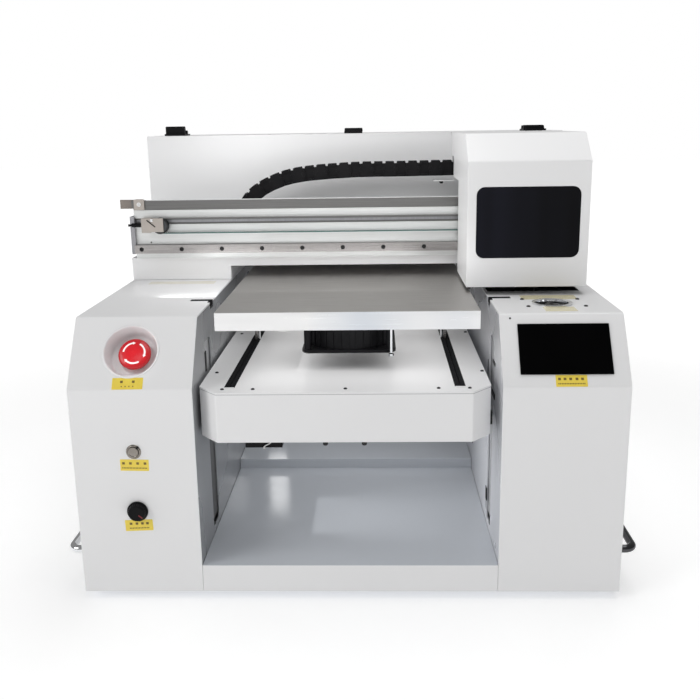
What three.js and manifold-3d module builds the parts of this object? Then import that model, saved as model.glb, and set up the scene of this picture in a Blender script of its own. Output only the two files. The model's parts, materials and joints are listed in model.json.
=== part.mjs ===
// Desktop flatbed UV printer: two sheet-metal towers on a base pan, a cross beam that carries the print
// carriage along X, a table tray that rises and falls along Z, and a platen that slides along Y on it.
// Millimetres, +X right, +Y back, +Z up, origin on the floor under the middle of the machine.
import * as THREE from "three";
import { mergeVertices } from "three/addons/utils/BufferGeometryUtils.js";
import Module from "manifold-3d";

const wasm = await Module();
wasm.setup();

// Housing
const HALF_WIDTH = 334; // outside of the towers
const GAP_HALF = 184; // inside of the towers
const DEPTH = 660; // front faces to back panel
const PROUD = 14; // exhaust fan behind the back panel
const FOOT_HEIGHT = 10;
const SHEET = 2;
const GAP = 0.3; // between touching pieces
const TOWER_HEIGHT = 342;
const BEND_HEIGHT = 265.5; // where the front face leans back
const SLOPE_DEPTH = 55.4;
const HOUSING_TOP = 553;
const HOUSING_FRONT = 467;
const DECK_TOP = 36;
const STEP_Y = 326;
const STEP_TOP = 51;
const OPENING_TOP = 362.5; // headroom for the platen under the beam
const PORTAL_TOP = 375.7;

// Beam and carriage
const BEAM = { half: 324, front: 317.5, back: 393.5, bottom: 376, top: 448, wall: 3.5 };
const RAIL = { front: 309.2, bottom: 384.5, top: 397, holePitch: 60, firstHole: -313.7 };
const BELT_Z = 425.5;
const PULLEY_RADIUS = 10;
const IDLER_X = -283.5;
const MOTOR_X = 300;
const HOOD = { left: 155.5, right: 315, front: 172, back: 440, bottom: 353.5, top: 553 };
const HOOD_STEP = { y: 307, z: 486 };
const HOOD_CHAMFER = { y: 215, z: 517.5 };
const WINDOW = { left: 167.6, right: 302.7, bottom: 392.5, top: 485, corner: 10.5 };
const CHAIN = { front: 398, back: 422, height: 28, lowerZ: 392, loopEnd: -100, fixedEnd: 60 };

// Table and platen
const TRAY = {
  front: -3, back: 640, bottom: 199, top: 261, half: 176.5, frontHalf: 152.5, chamfer: 28, slotHalf: 6.5,
};
const BAR_TOP = 214;
const SLOT_X = 139;
const TABLE_X = -3.5; // the lifting table stands left of the middle
const PLATEN = { half: 160.7, front: 42, length: 450, bottom: 325.8, top: 348.5 };
const FAN = { half: 60, y: 150, bottom: 285 };
const LIFT = { x: 222, y: 110 };

// Controls
const ESTOP = { x: -261.5, up: 48.7, dish: 35, depth: 20, buttonX: -259 };
const POWER = { x: -259.2, z: 186.8 };
const KNOB = { x: -259.5, z: 109.5, radius: 12.9, tip: 10.5, proud: 9 };
const SCREEN = { x: 259.6, up: 47.5, width: 109.3, height: 65 };
const DRAIN = { x: 259, y: 115 };
const CAP_OPENING = { left: 188, right: 313, front: 203.5, back: 300 };
const SENSOR = { reach: 29, back: 166, depth: 13, cornerFront: 142, cornerWidth: 4 };

const SLOPE_RISE = TOWER_HEIGHT - BEND_HEIGHT;
const SLOPE_ANGLE = Math.atan2(SLOPE_RISE, SLOPE_DEPTH);

// ---------------------------------------------------------------- materials

function finish(color, roughness, metalness) {
  return new THREE.MeshStandardMaterial({ color, roughness, metalness });
}

const white = finish(0xe6e7ea, 0.45, 0.1);
const pan = finish(0xd9dde6, 0.2, 0.1);
const aluminium = finish(0xb4b3b1, 0.38, 1);
const anodised = finish(0xc6c8cb, 0.35, 1);
const steel = finish(0xa9abae, 0.25, 1);
const chrome = finish(0xd8dadd, 0.08, 1);
const blackPlastic = finish(0x1b1c1e, 0.5, 0);
const blackMetal = finish(0x222326, 0.45, 0.4);
const film = finish(0x7e7c7a, 0.3, 0.6);
const beltRubber = finish(0x4f8f8a, 0.7, 0);
const rubber = finish(0x151515, 0.85, 0);
const darkGlass = finish(0x07090d, 0.06, 0);
const red = finish(0xd8222c, 0.3, 0);
const tankPlastic = finish(0x8d9196, 0.35, 0);

// ---------------------------------------------------------------- solids

// A closed geometry as a solid that can be joined and cut.
function solid(geometry) {
  const bare = geometry.clone();
  bare.deleteAttribute("normal");
  bare.deleteAttribute("uv");
  const merged = mergeVertices(bare, 1e-4);
  const corners = merged.index.array;
  const kept = [];
  for (let i = 0; i < corners.length; i += 3) {
    const [a, b, c] = corners.slice(i, i + 3);
    if (a !== b && b !== c && c !== a) kept.push(a, b, c);
  }
  return new wasm.Manifold(new wasm.Mesh({
    numProp: 3,
    vertProperties: merged.getAttribute("position").array,
    triVerts: new Uint32Array(kept),
  }));
}

function box([x0, x1], [y0, y1], [z0, z1]) {
  const geometry = new THREE.BoxGeometry(x1 - x0, y1 - y0, z1 - z0);
  return solid(geometry.translate((x0 + x1) / 2, (y0 + y1) / 2, (z0 + z1) / 2));
}

// A shape's own plane is (y, z) along x, (x, z) along y and (x, y) along z.
const X_AXIS = new THREE.Vector3(1, 0, 0);
const Y_AXIS = new THREE.Vector3(0, 1, 0);
const Z_AXIS = new THREE.Vector3(0, 0, 1);

function prism(axis, shape, from, to, curveSegments = 3) {
  const geometry = new THREE.ExtrudeGeometry(shape, {
    depth: to - from, bevelEnabled: false, curveSegments, steps: 1,
  });
  geometry.translate(0, 0, axis === "y" ? -to : from);
  const turn = new THREE.Matrix4();
  if (axis === "x") turn.makeBasis(Y_AXIS, Z_AXIS, X_AXIS);
  if (axis === "y") turn.makeBasis(X_AXIS, Z_AXIS, Y_AXIS.clone().negate());
  return solid(geometry.applyMatrix4(turn));
}

function polygon(points) {
  return new THREE.Shape(points.map(([a, b]) => new THREE.Vector2(a, b)));
}

function roundedRectangle(x0, x1, y0, y1, r) {
  const shape = new THREE.Shape();
  shape.absarc(x1 - r, y0 + r, r, -Math.PI / 2, 0);
  shape.absarc(x1 - r, y1 - r, r, 0, Math.PI / 2);
  shape.absarc(x0 + r, y1 - r, r, Math.PI / 2, Math.PI);
  shape.absarc(x0 + r, y0 + r, r, Math.PI, Math.PI * 1.5);
  shape.closePath();
  return shape;
}

// A round bar along an axis; a and b are its centre in the shape's plane of that axis.
function rod(axis, [a, b], radius, from, to, sides = 20) {
  const shape = new THREE.Shape();
  shape.absarc(a, b, radius, 0, Math.PI * 2);
  return prism(axis, shape, from, to, sides / 2);
}

// A turned piece about +Z; the profile is [radius, height] and starts and ends on the axis.
function turned(profile, sides = 28) {
  const points = profile.map(([r, z]) => new THREE.Vector2(r, z));
  return solid(new THREE.LatheGeometry(points, sides).rotateX(Math.PI / 2));
}

function join(...pieces) {
  return pieces.reduce((whole, piece) => whole.add(piece));
}

function cut(whole, ...pieces) {
  return pieces.reduce((left, piece) => left.subtract(piece), whole);
}

function mesh(name, body, material, group, position = [0, 0, 0]) {
  const { numProp, vertProperties, triVerts } = body.getMesh();
  const geometry = new THREE.BufferGeometry();
  const points = new THREE.InterleavedBuffer(vertProperties, numProp);
  geometry.setAttribute("position", new THREE.InterleavedBufferAttribute(points, 3, 0));
  geometry.setIndex(new THREE.BufferAttribute(triVerts, 1));
  const flat = geometry.toNonIndexed();
  flat.computeVertexNormals();
  const piece = new THREE.Mesh(flat, material);
  piece.name = name;
  piece.position.set(...position);
  group.add(piece);
  return piece;
}

// ---------------------------------------------------------------- frame groups

const printer = new THREE.Group();
const machine = new THREE.Group(); // z 0 is the underside of the base pan, y 0 the front faces
machine.position.set(0, -DEPTH / 2, FOOT_HEIGHT);
printer.add(machine);
const slope = new THREE.Group(); // y runs up the leaning panels, z stands out of them
slope.position.set(0, 0, BEND_HEIGHT);
slope.rotation.x = SLOPE_ANGLE;
machine.add(slope);
const table = new THREE.Group();
const platenGroup = new THREE.Group();
const carriage = new THREE.Group();
table.add(platenGroup);
machine.add(table, carriage);

// ---------------------------------------------------------------- base and towers

function basePan() {
  const half = HALF_WIDTH - SHEET - GAP;
  const deckHalf = GAP_HALF - GAP;
  const back = DEPTH - SHEET - GAP;
  return join(
    box([-half, half], [SHEET + GAP, back], [0, 3]),
    box([-deckHalf, deckHalf], [0, 3], [0, DECK_TOP]),
    box([-deckHalf, deckHalf], [0, STEP_Y + SHEET], [DECK_TOP - SHEET, DECK_TOP]),
    box([-deckHalf, deckHalf], [STEP_Y, STEP_Y + SHEET], [DECK_TOP - SHEET, STEP_TOP]),
    box([-deckHalf, deckHalf], [STEP_Y, back], [STEP_TOP - SHEET, STEP_TOP]),
    box([-deckHalf, deckHalf], [back - SHEET, back], [0, STEP_TOP]),
  );
}

// The corners of a tower's front and top, set in from the outside by a distance.
function towerCorners(inset, bottom) {
  const firstBend = inset * Math.tan((Math.PI / 2 - SLOPE_ANGLE) / 2);
  const secondBend = inset * Math.tan(SLOPE_ANGLE / 2);
  return [
    [inset, bottom],
    [inset, BEND_HEIGHT - firstBend],
    [SLOPE_DEPTH + secondBend, TOWER_HEIGHT - inset],
    [DEPTH - SHEET - GAP, TOWER_HEIGHT - inset],
  ];
}

function towerSheet(left, right) {
  const outer = towerCorners(0, 0);
  const inner = towerCorners(SHEET, 0).reverse();
  return prism("x", polygon([...outer, ...inner]), left, right);
}

// A solid in the leaning panel's own frame, moved into the machine's frame.
function leaning(body) {
  return body.rotate([THREE.MathUtils.radToDeg(SLOPE_ANGLE), 0, 0]).translate([0, 0, BEND_HEIGHT]);
}

// An interval from a to b measured outwards from the middle, on the left or the right side.
function onSide(side, a, b) {
  return [Math.min(side * a, side * b), Math.max(side * a, side * b)];
}

// An L-shaped slot in the top edge that a height sensor looks through.
function sensorSlot(side) {
  const inner = GAP_HALF - 1;
  const z = [TOWER_HEIGHT - 10, TOWER_HEIGHT + 1];
  return join(
    box(onSide(side, inner, GAP_HALF + SENSOR.reach), [SENSOR.back - SENSOR.depth, SENSOR.back], z),
    box(onSide(side, inner, GAP_HALF + SENSOR.cornerWidth), [SENSOR.cornerFront, SENSOR.back], z),
  );
}

function leftTowerCover() {
  return cut(
    towerSheet(-HALF_WIDTH, -GAP_HALF),
    leaning(rod("z", [ESTOP.x, ESTOP.up], ESTOP.dish - 1.3, -10, 10, 32)),
    rod("y", [POWER.x, POWER.z], 7, -5, 5),
    rod("y", [KNOB.x, KNOB.z], 3.6, -5, 5, 12),
    sensorSlot(-1),
  );
}

function rightTowerCover() {
  const [halfWidth, halfHeight] = [SCREEN.width / 2 - 3, SCREEN.height / 2 - 3];
  const { left, right, front, back } = CAP_OPENING;
  return cut(
    towerSheet(GAP_HALF, HALF_WIDTH),
    leaning(box([SCREEN.x - halfWidth, SCREEN.x + halfWidth],
      [SCREEN.up - halfHeight, SCREEN.up + halfHeight], [-10, 10])),
    rod("z", [DRAIN.x, DRAIN.y], 23.3, TOWER_HEIGHT - 5, TOWER_HEIGHT + 5, 28),
    box([left, right], [front, back], [TOWER_HEIGHT - 5, TOWER_HEIGHT + 5]),
    sensorSlot(1),
  );
}

function towerWall(x0, x1, bottom) {
  const corners = towerCorners(SHEET + GAP, bottom);
  return prism("x", polygon([...corners, [DEPTH - SHEET - GAP, bottom]]), x0, x1);
}

function innerWall(side) {
  const [x0, x1] = onSide(side, GAP_HALF, GAP_HALF + SHEET);
  const through = [x0 - 1, x1 + 1];
  let wall = cut(
    towerWall(x0, x1, 3 + GAP),
    prism("x", roundedRectangle(90, 130, 45, 300, 6), ...through),
    sensorSlot(side),
  );
  if (side > 0) wall = cut(wall, box(through, [134, 141], [49, 76]));
  return wall;
}

mesh("base_pan", basePan(), pan, machine);
mesh("left_tower_cover", leftTowerCover(), white, machine);
mesh("right_tower_cover", rightTowerCover(), white, machine);
mesh("left_side_panel", towerWall(-HALF_WIDTH, SHEET - HALF_WIDTH, 0), white, machine);
mesh("right_side_panel", towerWall(HALF_WIDTH - SHEET, HALF_WIDTH, 0), white, machine);
mesh("left_inner_wall", innerWall(-1), white, machine);
mesh("right_inner_wall", innerWall(1), white, machine);

function foot() {
  return turned([[0, 0], [18, 0], [20, 2], [18, FOOT_HEIGHT - GAP], [0, FOOT_HEIGHT - GAP]], 20);
}

for (const [end, y] of [["front", 55], ["rear", 605]]) {
  mesh(end + "_left_foot", foot(), rubber, machine, [-290, y, -FOOT_HEIGHT]);
  mesh(end + "_right_foot", foot(), rubber, machine, [290, y, -FOOT_HEIGHT]);
}

// A bent bar that stands out along +X and grips along Y.
function handle() {
  const [reach, length, bend] = [21 - GAP, 120, 10];
  const corner = (x, y) => new THREE.Vector3(x, y, 0);
  const path = new THREE.CurvePath();
  path.add(new THREE.LineCurve3(corner(0, 0), corner(reach - bend, 0)));
  path.add(new THREE.QuadraticBezierCurve3(corner(reach - bend, 0), corner(reach, 0), corner(reach, bend)));
  path.add(new THREE.LineCurve3(corner(reach, bend), corner(reach, length - bend)));
  path.add(new THREE.QuadraticBezierCurve3(
    corner(reach, length - bend), corner(reach, length), corner(reach - bend, length)));
  path.add(new THREE.LineCurve3(corner(reach - bend, length), corner(0, length)));
  const section = new THREE.Shape();
  section.absarc(0, 0, 5, 0, Math.PI * 2);
  return solid(new THREE.ExtrudeGeometry(section, { extrudePath: path, steps: 30, curveSegments: 5 }));
}

mesh("right_handle", handle(), chrome, machine, [HALF_WIDTH + GAP, 20, 48.5]);
const leftHandle = mesh("left_handle", handle(), chrome, machine, [-HALF_WIDTH - GAP, 140, 48.5]);
leftHandle.rotation.z = Math.PI;

// ---------------------------------------------------------------- controls

function estopCup() {
  const { dish, depth } = ESTOP;
  return cut(
    turned([
      [0, -depth - 2], [dish - 4, -depth - 2], [dish - 1.6, -3], [dish - 1.6, GAP], [dish, GAP],
      [dish, 1.2], [dish - 2.8, 1.2], [dish - 6, -depth], [0, -depth],
    ], 36),
    rod("z", [ESTOP.buttonX - ESTOP.x, 0], 8, -depth - 5, 0, 16),
  );
}

function estopButton() {
  const floor = -ESTOP.depth;
  return turned([
    [0, floor - 16], [7, floor - 16], [7, floor + 6], [18, floor + 6.5], [20, floor + 8.5],
    [20, floor + 11.5], [17.5, floor + 13.8], [11, floor + 14.6], [0, floor + 15],
  ], 28);
}

function touchScreen() {
  const [x, y] = [SCREEN.width / 2, SCREEN.height / 2];
  return join(
    prism("z", roundedRectangle(-x, x, -y, y, 0.8), GAP, 1.8),
    box([3.3 - x, x - 3.3], [3.3 - y, y - 3.3], [-9, 1]),
  );
}

function drainCup() {
  const top = 2;
  return turned([
    [0, -22], [20, -22], [22.8, -18], [22.8, GAP], [25.5, GAP], [25.5, top],
    [20.5, top], [19, -16], [16, -20], [0, -20],
  ], 28);
}

mesh("estop_cup", estopCup(), white, slope, [ESTOP.x, ESTOP.up, 0]);
mesh("estop_button", estopButton(), red, slope, [ESTOP.buttonX, ESTOP.up, 0]);
mesh("touch_screen", touchScreen(), darkGlass, slope, [SCREEN.x, SCREEN.up, 0]);
mesh("drain_cup", drainCup(), steel, machine, [DRAIN.x, DRAIN.y, TOWER_HEIGHT]);
mesh("power_button", rod("y", [0, 0], 6.5, -3.5, 20), steel, machine, [POWER.x, 0, POWER.z]);
mesh("dimmer_knob", join(
  rod("y", [0, 0], KNOB.radius, -3, -0.5, 24),
  rod("y", [0, 0], KNOB.tip, -KNOB.proud, -2.5, 24),
  rod("y", [0, 0], 3, -1, 14, 12),
), blackPlastic, machine, [KNOB.x, 0, KNOB.z]);

// ---------------------------------------------------------------- portal, beam and drive

function portalFrame() {
  const back = HOUSING_FRONT - GAP;
  const bottom = TOWER_HEIGHT + GAP;
  const x = [-HALF_WIDTH, HALF_WIDTH];
  const opening = box([-GAP_HALF, GAP_HALF], [0, DEPTH], [0, OPENING_TOP]);
  return cut(join(
    box(x, [STEP_Y, STEP_Y + SHEET], [bottom, PORTAL_TOP]),
    box(x, [STEP_Y, back], [PORTAL_TOP - SHEET, PORTAL_TOP]),
    box(x, [BEAM.back, BEAM.back + SHEET], [bottom, PORTAL_TOP]),
    box([-GAP_HALF - SHEET, -GAP_HALF], [STEP_Y, back], [bottom, PORTAL_TOP]),
    box([GAP_HALF, GAP_HALF + SHEET], [STEP_Y, back], [bottom, PORTAL_TOP]),
  ), opening);
}

function crossBeam() {
  const { half, front, back, bottom, top, wall } = BEAM;
  return cut(
    box([-half, half], [front, back], [bottom, top]),
    box([-half - 1, half + 1], [front + wall + 3, back - wall], [bottom + wall, top - wall]),
    box([-half - 1, half + 1], [front - 1, front + 4], [427, 436]),
    rod("y", [MOTOR_X, BELT_Z], 4, front - 1, back + 1, 14),
  );
}

function xRail() {
  const middle = (RAIL.bottom + RAIL.top) / 2;
  let rail = box([-BEAM.half, 318], [RAIL.front, BEAM.front - GAP], [RAIL.bottom, RAIL.top]);
  for (let x = RAIL.firstHole; x < 318; x += RAIL.holePitch)
    rail = cut(rail, rod("y", [x, middle], 3.4, RAIL.front - 1, RAIL.front + 4.5, 10));
  return rail;
}

function encoderStrip() {
  const [front, bottom] = [BEAM.front, BEAM.top + GAP];
  return join(
    box([-343, -BEAM.half + 1], [front, front + 1.6], [450.5, 463.6]),
    box([-BEAM.half, 318], [front, front + 1.6], [bottom, 462.7]),
    box([-BEAM.half, 318], [front, front + 14], [bottom, bottom + 1.5]),
  );
}

function beltTensioner() {
  const back = BEAM.front - GAP;
  return join(
    box([-310.5, -297], [304, back], [416, 437]),
    box([-298, -278], [304, 306], [417, 437]),
    rod("y", [IDLER_X, BELT_Z], 2.5, 305, back, 12),
    rod("x", [311, BELT_Z + 1], 1.5, -331.5, -325, 12),
    rod("x", [311, BELT_Z + 1], 2.9, -326, -310, 12),
  );
}

function pulley(bore) {
  const wheel = join(
    rod("y", [0, 0], PULLEY_RADIUS, 307.8, 315.6, 22),
    rod("y", [0, 0], PULLEY_RADIUS + 1.8, 307, 308, 22),
    rod("y", [0, 0], PULLEY_RADIUS + 1.8, 315.4, 316.4, 22),
  );
  return bore ? cut(wheel, rod("y", [0, 0], bore, 300, 320, 12)) : wheel;
}

function xBelt() {
  const loop = (radius) => {
    const shape = new THREE.Shape();
    shape.absarc(MOTOR_X, BELT_Z, radius, -Math.PI / 2, Math.PI / 2);
    shape.absarc(IDLER_X, BELT_Z, radius, Math.PI / 2, Math.PI * 1.5);
    shape.closePath();
    return shape;
  };
  const run = [308.6, 314.8];
  return cut(
    prism("y", loop(PULLEY_RADIUS + 1.6), ...run, 9),
    prism("y", loop(PULLEY_RADIUS + 0.4), 300, 320, 9),
  );
}

function steppedMotor(size, length) {
  const half = size / 2;
  const shape = polygon([
    [-half, 4 - half], [4 - half, -half], [half - 4, -half], [half, 4 - half],
    [half, half - 4], [half - 4, half], [4 - half, half], [-half, half - 4],
  ]);
  return prism("z", shape, 0, length);
}

mesh("portal_frame", portalFrame(), white, machine);
mesh("beam", crossBeam(), anodised, machine);
mesh("x_rail", xRail(), steel, machine);
mesh("encoder_strip", encoderStrip(), film, machine);
mesh("beam_end_plate", box([-329.3, -BEAM.half - GAP], [314, BEAM.back], [383, 439]), anodised, machine);
mesh("belt_tensioner", beltTensioner(), steel, machine);
mesh("idler_pulley", pulley(3), steel, machine, [IDLER_X, 0, BELT_Z]);
mesh("x_motor_pulley", join(pulley(0), rod("y", [0, 0], 2.5, 310, BEAM.back, 12)),
  steel, machine, [MOTOR_X, 0, BELT_Z]);
mesh("x_belt", xBelt(), beltRubber, machine);
const xMotor = mesh("x_motor", steppedMotor(42, 40), blackMetal, machine,
  [MOTOR_X, BEAM.back + 40 + GAP, BELT_Z]);
xMotor.rotation.x = Math.PI / 2;

// ---------------------------------------------------------------- cable chain

// Middle line of the loop from the hood, round the bend and on to the lower run.
const CHAIN_LINE = [
  [157, 500], [74, 498], [-4, 497], [-88, 493], [-136, 481], [-163, 460],
  [-171, 431], [-158, 404], [-130, 393], [CHAIN.loopEnd, CHAIN.lowerZ],
];

function chainLoop() {
  const curve = new THREE.SplineCurve(CHAIN_LINE.map(([x, z]) => new THREE.Vector2(x, z)));
  const [steps, half] = [30, CHAIN.height / 2];
  const [above, below] = [[], []];
  for (let i = 0; i <= steps; i++) {
    const at = curve.getPointAt(i / steps);
    const along = curve.getTangentAt(i / steps);
    const across = new THREE.Vector2(along.y, -along.x).multiplyScalar(half);
    above.push(at.clone().add(across));
    below.push(at.clone().sub(across));
  }
  return prism("y", new THREE.Shape([...above, ...below.reverse()]), CHAIN.front, CHAIN.back);
}

mesh("chain_lower", box([CHAIN.loopEnd + 0.5, CHAIN.fixedEnd], [CHAIN.front, CHAIN.back],
  [CHAIN.lowerZ - CHAIN.height / 2, CHAIN.lowerZ + CHAIN.height / 2]), blackPlastic, machine);
mesh("chain_loop", chainLoop(), blackPlastic, machine);

// ---------------------------------------------------------------- rear housing

const LID_FRONT = 496;
const HINGE = { y: 495, z: HOUSING_TOP + 4.5, radius: 4 };

function rearHousing() {
  const [front, back] = [HOUSING_FRONT, DEPTH - SHEET - GAP];
  const bottom = TOWER_HEIGHT + GAP;
  const seat = HOUSING_TOP - SHEET - GAP;
  const outer = box([-HALF_WIDTH, HALF_WIDTH], [front, back], [bottom, HOUSING_TOP]);
  const inside = HALF_WIDTH - SHEET;
  return cut(
    outer,
    box([-inside, inside], [front + SHEET, back + 1], [0, HOUSING_TOP - SHEET]),
    box([-HALF_WIDTH - 1, HALF_WIDTH + 1], [LID_FRONT - 1.3, back + 1], [seat, HOUSING_TOP + 1]),
    box([-GAP_HALF, GAP_HALF], [0, front + 10], [0, OPENING_TOP]),
  );
}

const BACK_TOP = HOUSING_TOP - 13;
const EXHAUST = { x: -220, z: 450, size: 80 };
const INLET = { x: 250, z: 70 };

function backPanel() {
  const half = HALF_WIDTH - GAP;
  return cut(
    box([-half, half], [DEPTH - SHEET, DEPTH], [3 + GAP, BACK_TOP]),
    rod("y", [EXHAUST.x, EXHAUST.z], 35, DEPTH - 5, DEPTH + 5, 28),
    box([INLET.x - 14, INLET.x + 14], [DEPTH - 5, DEPTH + 5], [INLET.z - 10.5, INLET.z + 10.5]),
  );
}

function powerInlet() {
  const socket = join(
    box([-13.7, 13.7], [DEPTH - 22, DEPTH + 2], [-10.2, 10.2]),
    prism("y", roundedRectangle(-25, 25, -14, 14, 4), DEPTH + GAP, DEPTH + 3),
  );
  return cut(socket, box([-11.5, 11.5], [DEPTH - 14, DEPTH + 9], [-7.5, 7.5]));
}

function exhaustFan() {
  const [front, back, half] = [DEPTH + GAP, DEPTH + PROUD, EXHAUST.size / 2];
  const ring = cut(
    prism("y", roundedRectangle(-half, half, -half, half, 6), front, back),
    rod("y", [0, 0], 36, front - 5, back + 5, 28),
  );
  return join(
    ring,
    rod("y", [0, 0], 13, front + 3, back - 1),
    box([-37, 37], [back - 4, back - 1], [-2, 2]),
    box([-2, 2], [back - 4, back - 1], [-37, 37]),
  );
}

function rearLid() {
  const back = DEPTH - SHEET;
  const lip = HALF_WIDTH - SHEET - GAP;
  return join(
    box([-HALF_WIDTH, HALF_WIDTH], [LID_FRONT, back], [HOUSING_TOP - SHEET, HOUSING_TOP]),
    box([-lip, lip], [back - 1.7, back], [BACK_TOP + GAP, HOUSING_TOP]),
  );
}

// A leaf on the housing's fixed strip with a knuckle on the lid's axis.
function lidHinge(width, height) {
  const half = width / 2;
  const bottom = HOUSING_TOP + GAP;
  return join(
    box([-half, half], [HINGE.y - 23, HINGE.y], [bottom, bottom + 3]),
    box([-half + 2, half - 2], [HINGE.y - 18, HINGE.y - 5], [bottom, HOUSING_TOP + height]),
    rod("x", [HINGE.y, HINGE.z], HINGE.radius, -half, half, 16),
  );
}

const SHELF = { bottom: 366, top: 369 };

function tankShelf() {
  const half = HALF_WIDTH - SHEET - GAP;
  return box([-half, half], [HOUSING_FRONT + SHEET + GAP, DEPTH - SHEET - GAP], [SHELF.bottom, SHELF.top]);
}

// Six tanks in a row that share one low tray.
function inkTanks() {
  const bottom = SHELF.top + GAP;
  let tanks = box([-153, 145], [537, 643], [bottom, bottom + 4]);
  for (let i = 0; i < 6; i++) {
    const x = -150 + i * 50;
    tanks = join(
      tanks,
      box([x, x + 42], [540, 640], [bottom + 3, 470]),
      rod("z", [x + 21, 620], 10, 469, 482, 14),
    );
  }
  return tanks;
}

mesh("rear_housing", rearHousing(), white, machine);
mesh("back_panel", backPanel(), white, machine);
mesh("power_inlet", powerInlet(), blackPlastic, machine, [INLET.x, 0, INLET.z]);
mesh("exhaust_fan", exhaustFan(), blackPlastic, machine, [EXHAUST.x, 0, EXHAUST.z]);
mesh("rear_lid", rearLid(), white, machine);
mesh("left_lid_hinge", lidHinge(33, 15), blackPlastic, machine, [-289.5, 0, 0]);
mesh("centre_lid_hinge", lidHinge(29, 8), blackPlastic, machine);
mesh("right_lid_hinge", lidHinge(36, 9), blackPlastic, machine, [291, 0, 0]);
mesh("tank_shelf", tankShelf(), white, machine);
mesh("ink_tanks", inkTanks(), tankPlastic, machine);
mesh("control_box", box([-318, -206], [300, 560], [3 + GAP, 120]), blackMetal, machine);

// ---------------------------------------------------------------- lifting table

function tableTray() {
  const outline = (inset) => {
    const { front, back, half, frontHalf, chamfer } = TRAY;
    const [x, xFront] = [half - inset, frontHalf - inset * 0.6];
    return polygon([
      [-xFront, front + inset], [xFront, front + inset], [x, front + chamfer + inset * 0.4],
      [x, back - inset], [-x, back - inset], [-x, front + chamfer + inset * 0.4],
    ]);
  };
  return cut(
    prism("z", outline(0), TRAY.bottom, TRAY.top),
    prism("z", outline(SHEET), TRAY.bottom - 1, TRAY.top - SHEET),
    box([SLOT_X - TRAY.slotHalf, SLOT_X + TRAY.slotHalf], [17, 630], [TRAY.top - 5, TRAY.top + 5]),
    box([-SLOT_X - TRAY.slotHalf, TRAY.slotHalf - SLOT_X], [17, 630], [TRAY.top - 5, TRAY.top + 5]),
  );
}

function liftFrame() {
  const [armEnd, under] = [LIFT.x + 14, [186, TRAY.bottom - 0.5]];
  let frame = join(
    box([-armEnd, armEnd], [98, 122], under),
    box([-150, 150], [560, 584], under),
  );
  for (const side of [-1, 1]) {
    const span = (a, b) => onSide(side, a, b);
    frame = join(frame, box(span(126, 152), [20, 625], [TRAY.bottom - 1, BAR_TOP]));
    for (const y of [87, 306, 572])
      frame = join(
        frame,
        box(span(150, 171), [y - 7, y + 7], [206, BAR_TOP]),
        box(span(161, 171), [y - 7, y + 7], [206, TRAY.top - SHEET - GAP]),
      );
    frame = cut(frame, rod("z", [side * LIFT.x - TABLE_X, LIFT.y], 6.8, 150, 250, 20));
  }
  return frame;
}

mesh("table_tray", tableTray(), white, table, [TABLE_X, 0, 0]);
mesh("lift_frame", liftFrame(), blackMetal, table, [TABLE_X, 0, 0]);

for (const [side, name] of [[-1, "left"], [1, "right"]]) {
  mesh(name + "_y_rail", box([-6, 6], [12, 622], [BAR_TOP + GAP, 224]), steel, table,
    [TABLE_X + side * SLOT_X, 0, 0]);
  mesh(name + "_lift_motor", steppedMotor(57, 46), blackMetal, machine,
    [side * LIFT.x, LIFT.y, 3 + GAP]);
  mesh(name + "_lift_screw", join(rod("z", [0, 0], 6, 60, 330, 16), rod("z", [0, 0], 10, 50, 61, 16)),
    steel, machine, [side * LIFT.x, LIFT.y, 0]);
}

// ---------------------------------------------------------------- platen

function platenPlate() {
  const { half, front, length, bottom, top } = PLATEN;
  return box([-half, half], [front, front + length], [bottom, top]);
}

function platenSaddle() {
  const top = PLATEN.bottom - GAP;
  const deep = [top - 11, top];
  let saddle = join(
    box([-148, 148], [262, 288], deep),
    box([-148, 148], [407, 433], deep),
  );
  for (const side of [-1, 1]) {
    const span = (a, b) => onSide(side, a, b);
    saddle = join(saddle, box(span(130, 148), [262, 433], deep));
    for (const y of [275, 420]) {
      const shoe = cut(
        box(span(SLOT_X - 14, SLOT_X + 14), [y - 25, y + 25], [216.5, 232]),
        box(span(SLOT_X - 6.5, SLOT_X + 6.5), [y - 30, y + 30], [210, 224.6]),
      );
      saddle = join(saddle, shoe, box(span(SLOT_X - 1.5, SLOT_X + 1.5), [y - 6, y + 6], [231, top]));
    }
  }
  return saddle;
}

function suctionFan() {
  const [{ half, bottom }, top] = [FAN, PLATEN.bottom - GAP];
  const shell = cut(
    prism("z", roundedRectangle(-half, half, -half, half, 5), bottom, top),
    rod("z", [0, 0], 55, bottom - 5, top + 5, 32),
  );
  return join(
    shell,
    rod("z", [0, 0], 20, top - 6, top),
    box([-57, 57], [-4, 4], [top - 4, top]),
    box([-4, 4], [-57, 57], [top - 4, top]),
  );
}

function suctionImpeller() {
  const top = PLATEN.bottom - 8;
  let wheel = rod("z", [0, 0], 18, FAN.bottom + 4, top);
  for (let i = 0; i < 7; i++) {
    const blade = box([15, 52], [-1.5, 1.5], [FAN.bottom + 6, top - 2]);
    wheel = join(wheel, blade.rotate([0, 0, i * 360 / 7]));
  }
  return wheel;
}

mesh("platen", platenPlate(), aluminium, platenGroup);
mesh("platen_saddle", platenSaddle(), steel, platenGroup, [TABLE_X, 0, 0]);
mesh("suction_fan", suctionFan(), blackPlastic, platenGroup, [0, FAN.y, 0]);
mesh("suction_impeller", suctionImpeller(), blackPlastic, platenGroup, [0, FAN.y, 0]);

// ---------------------------------------------------------------- print carriage

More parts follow.
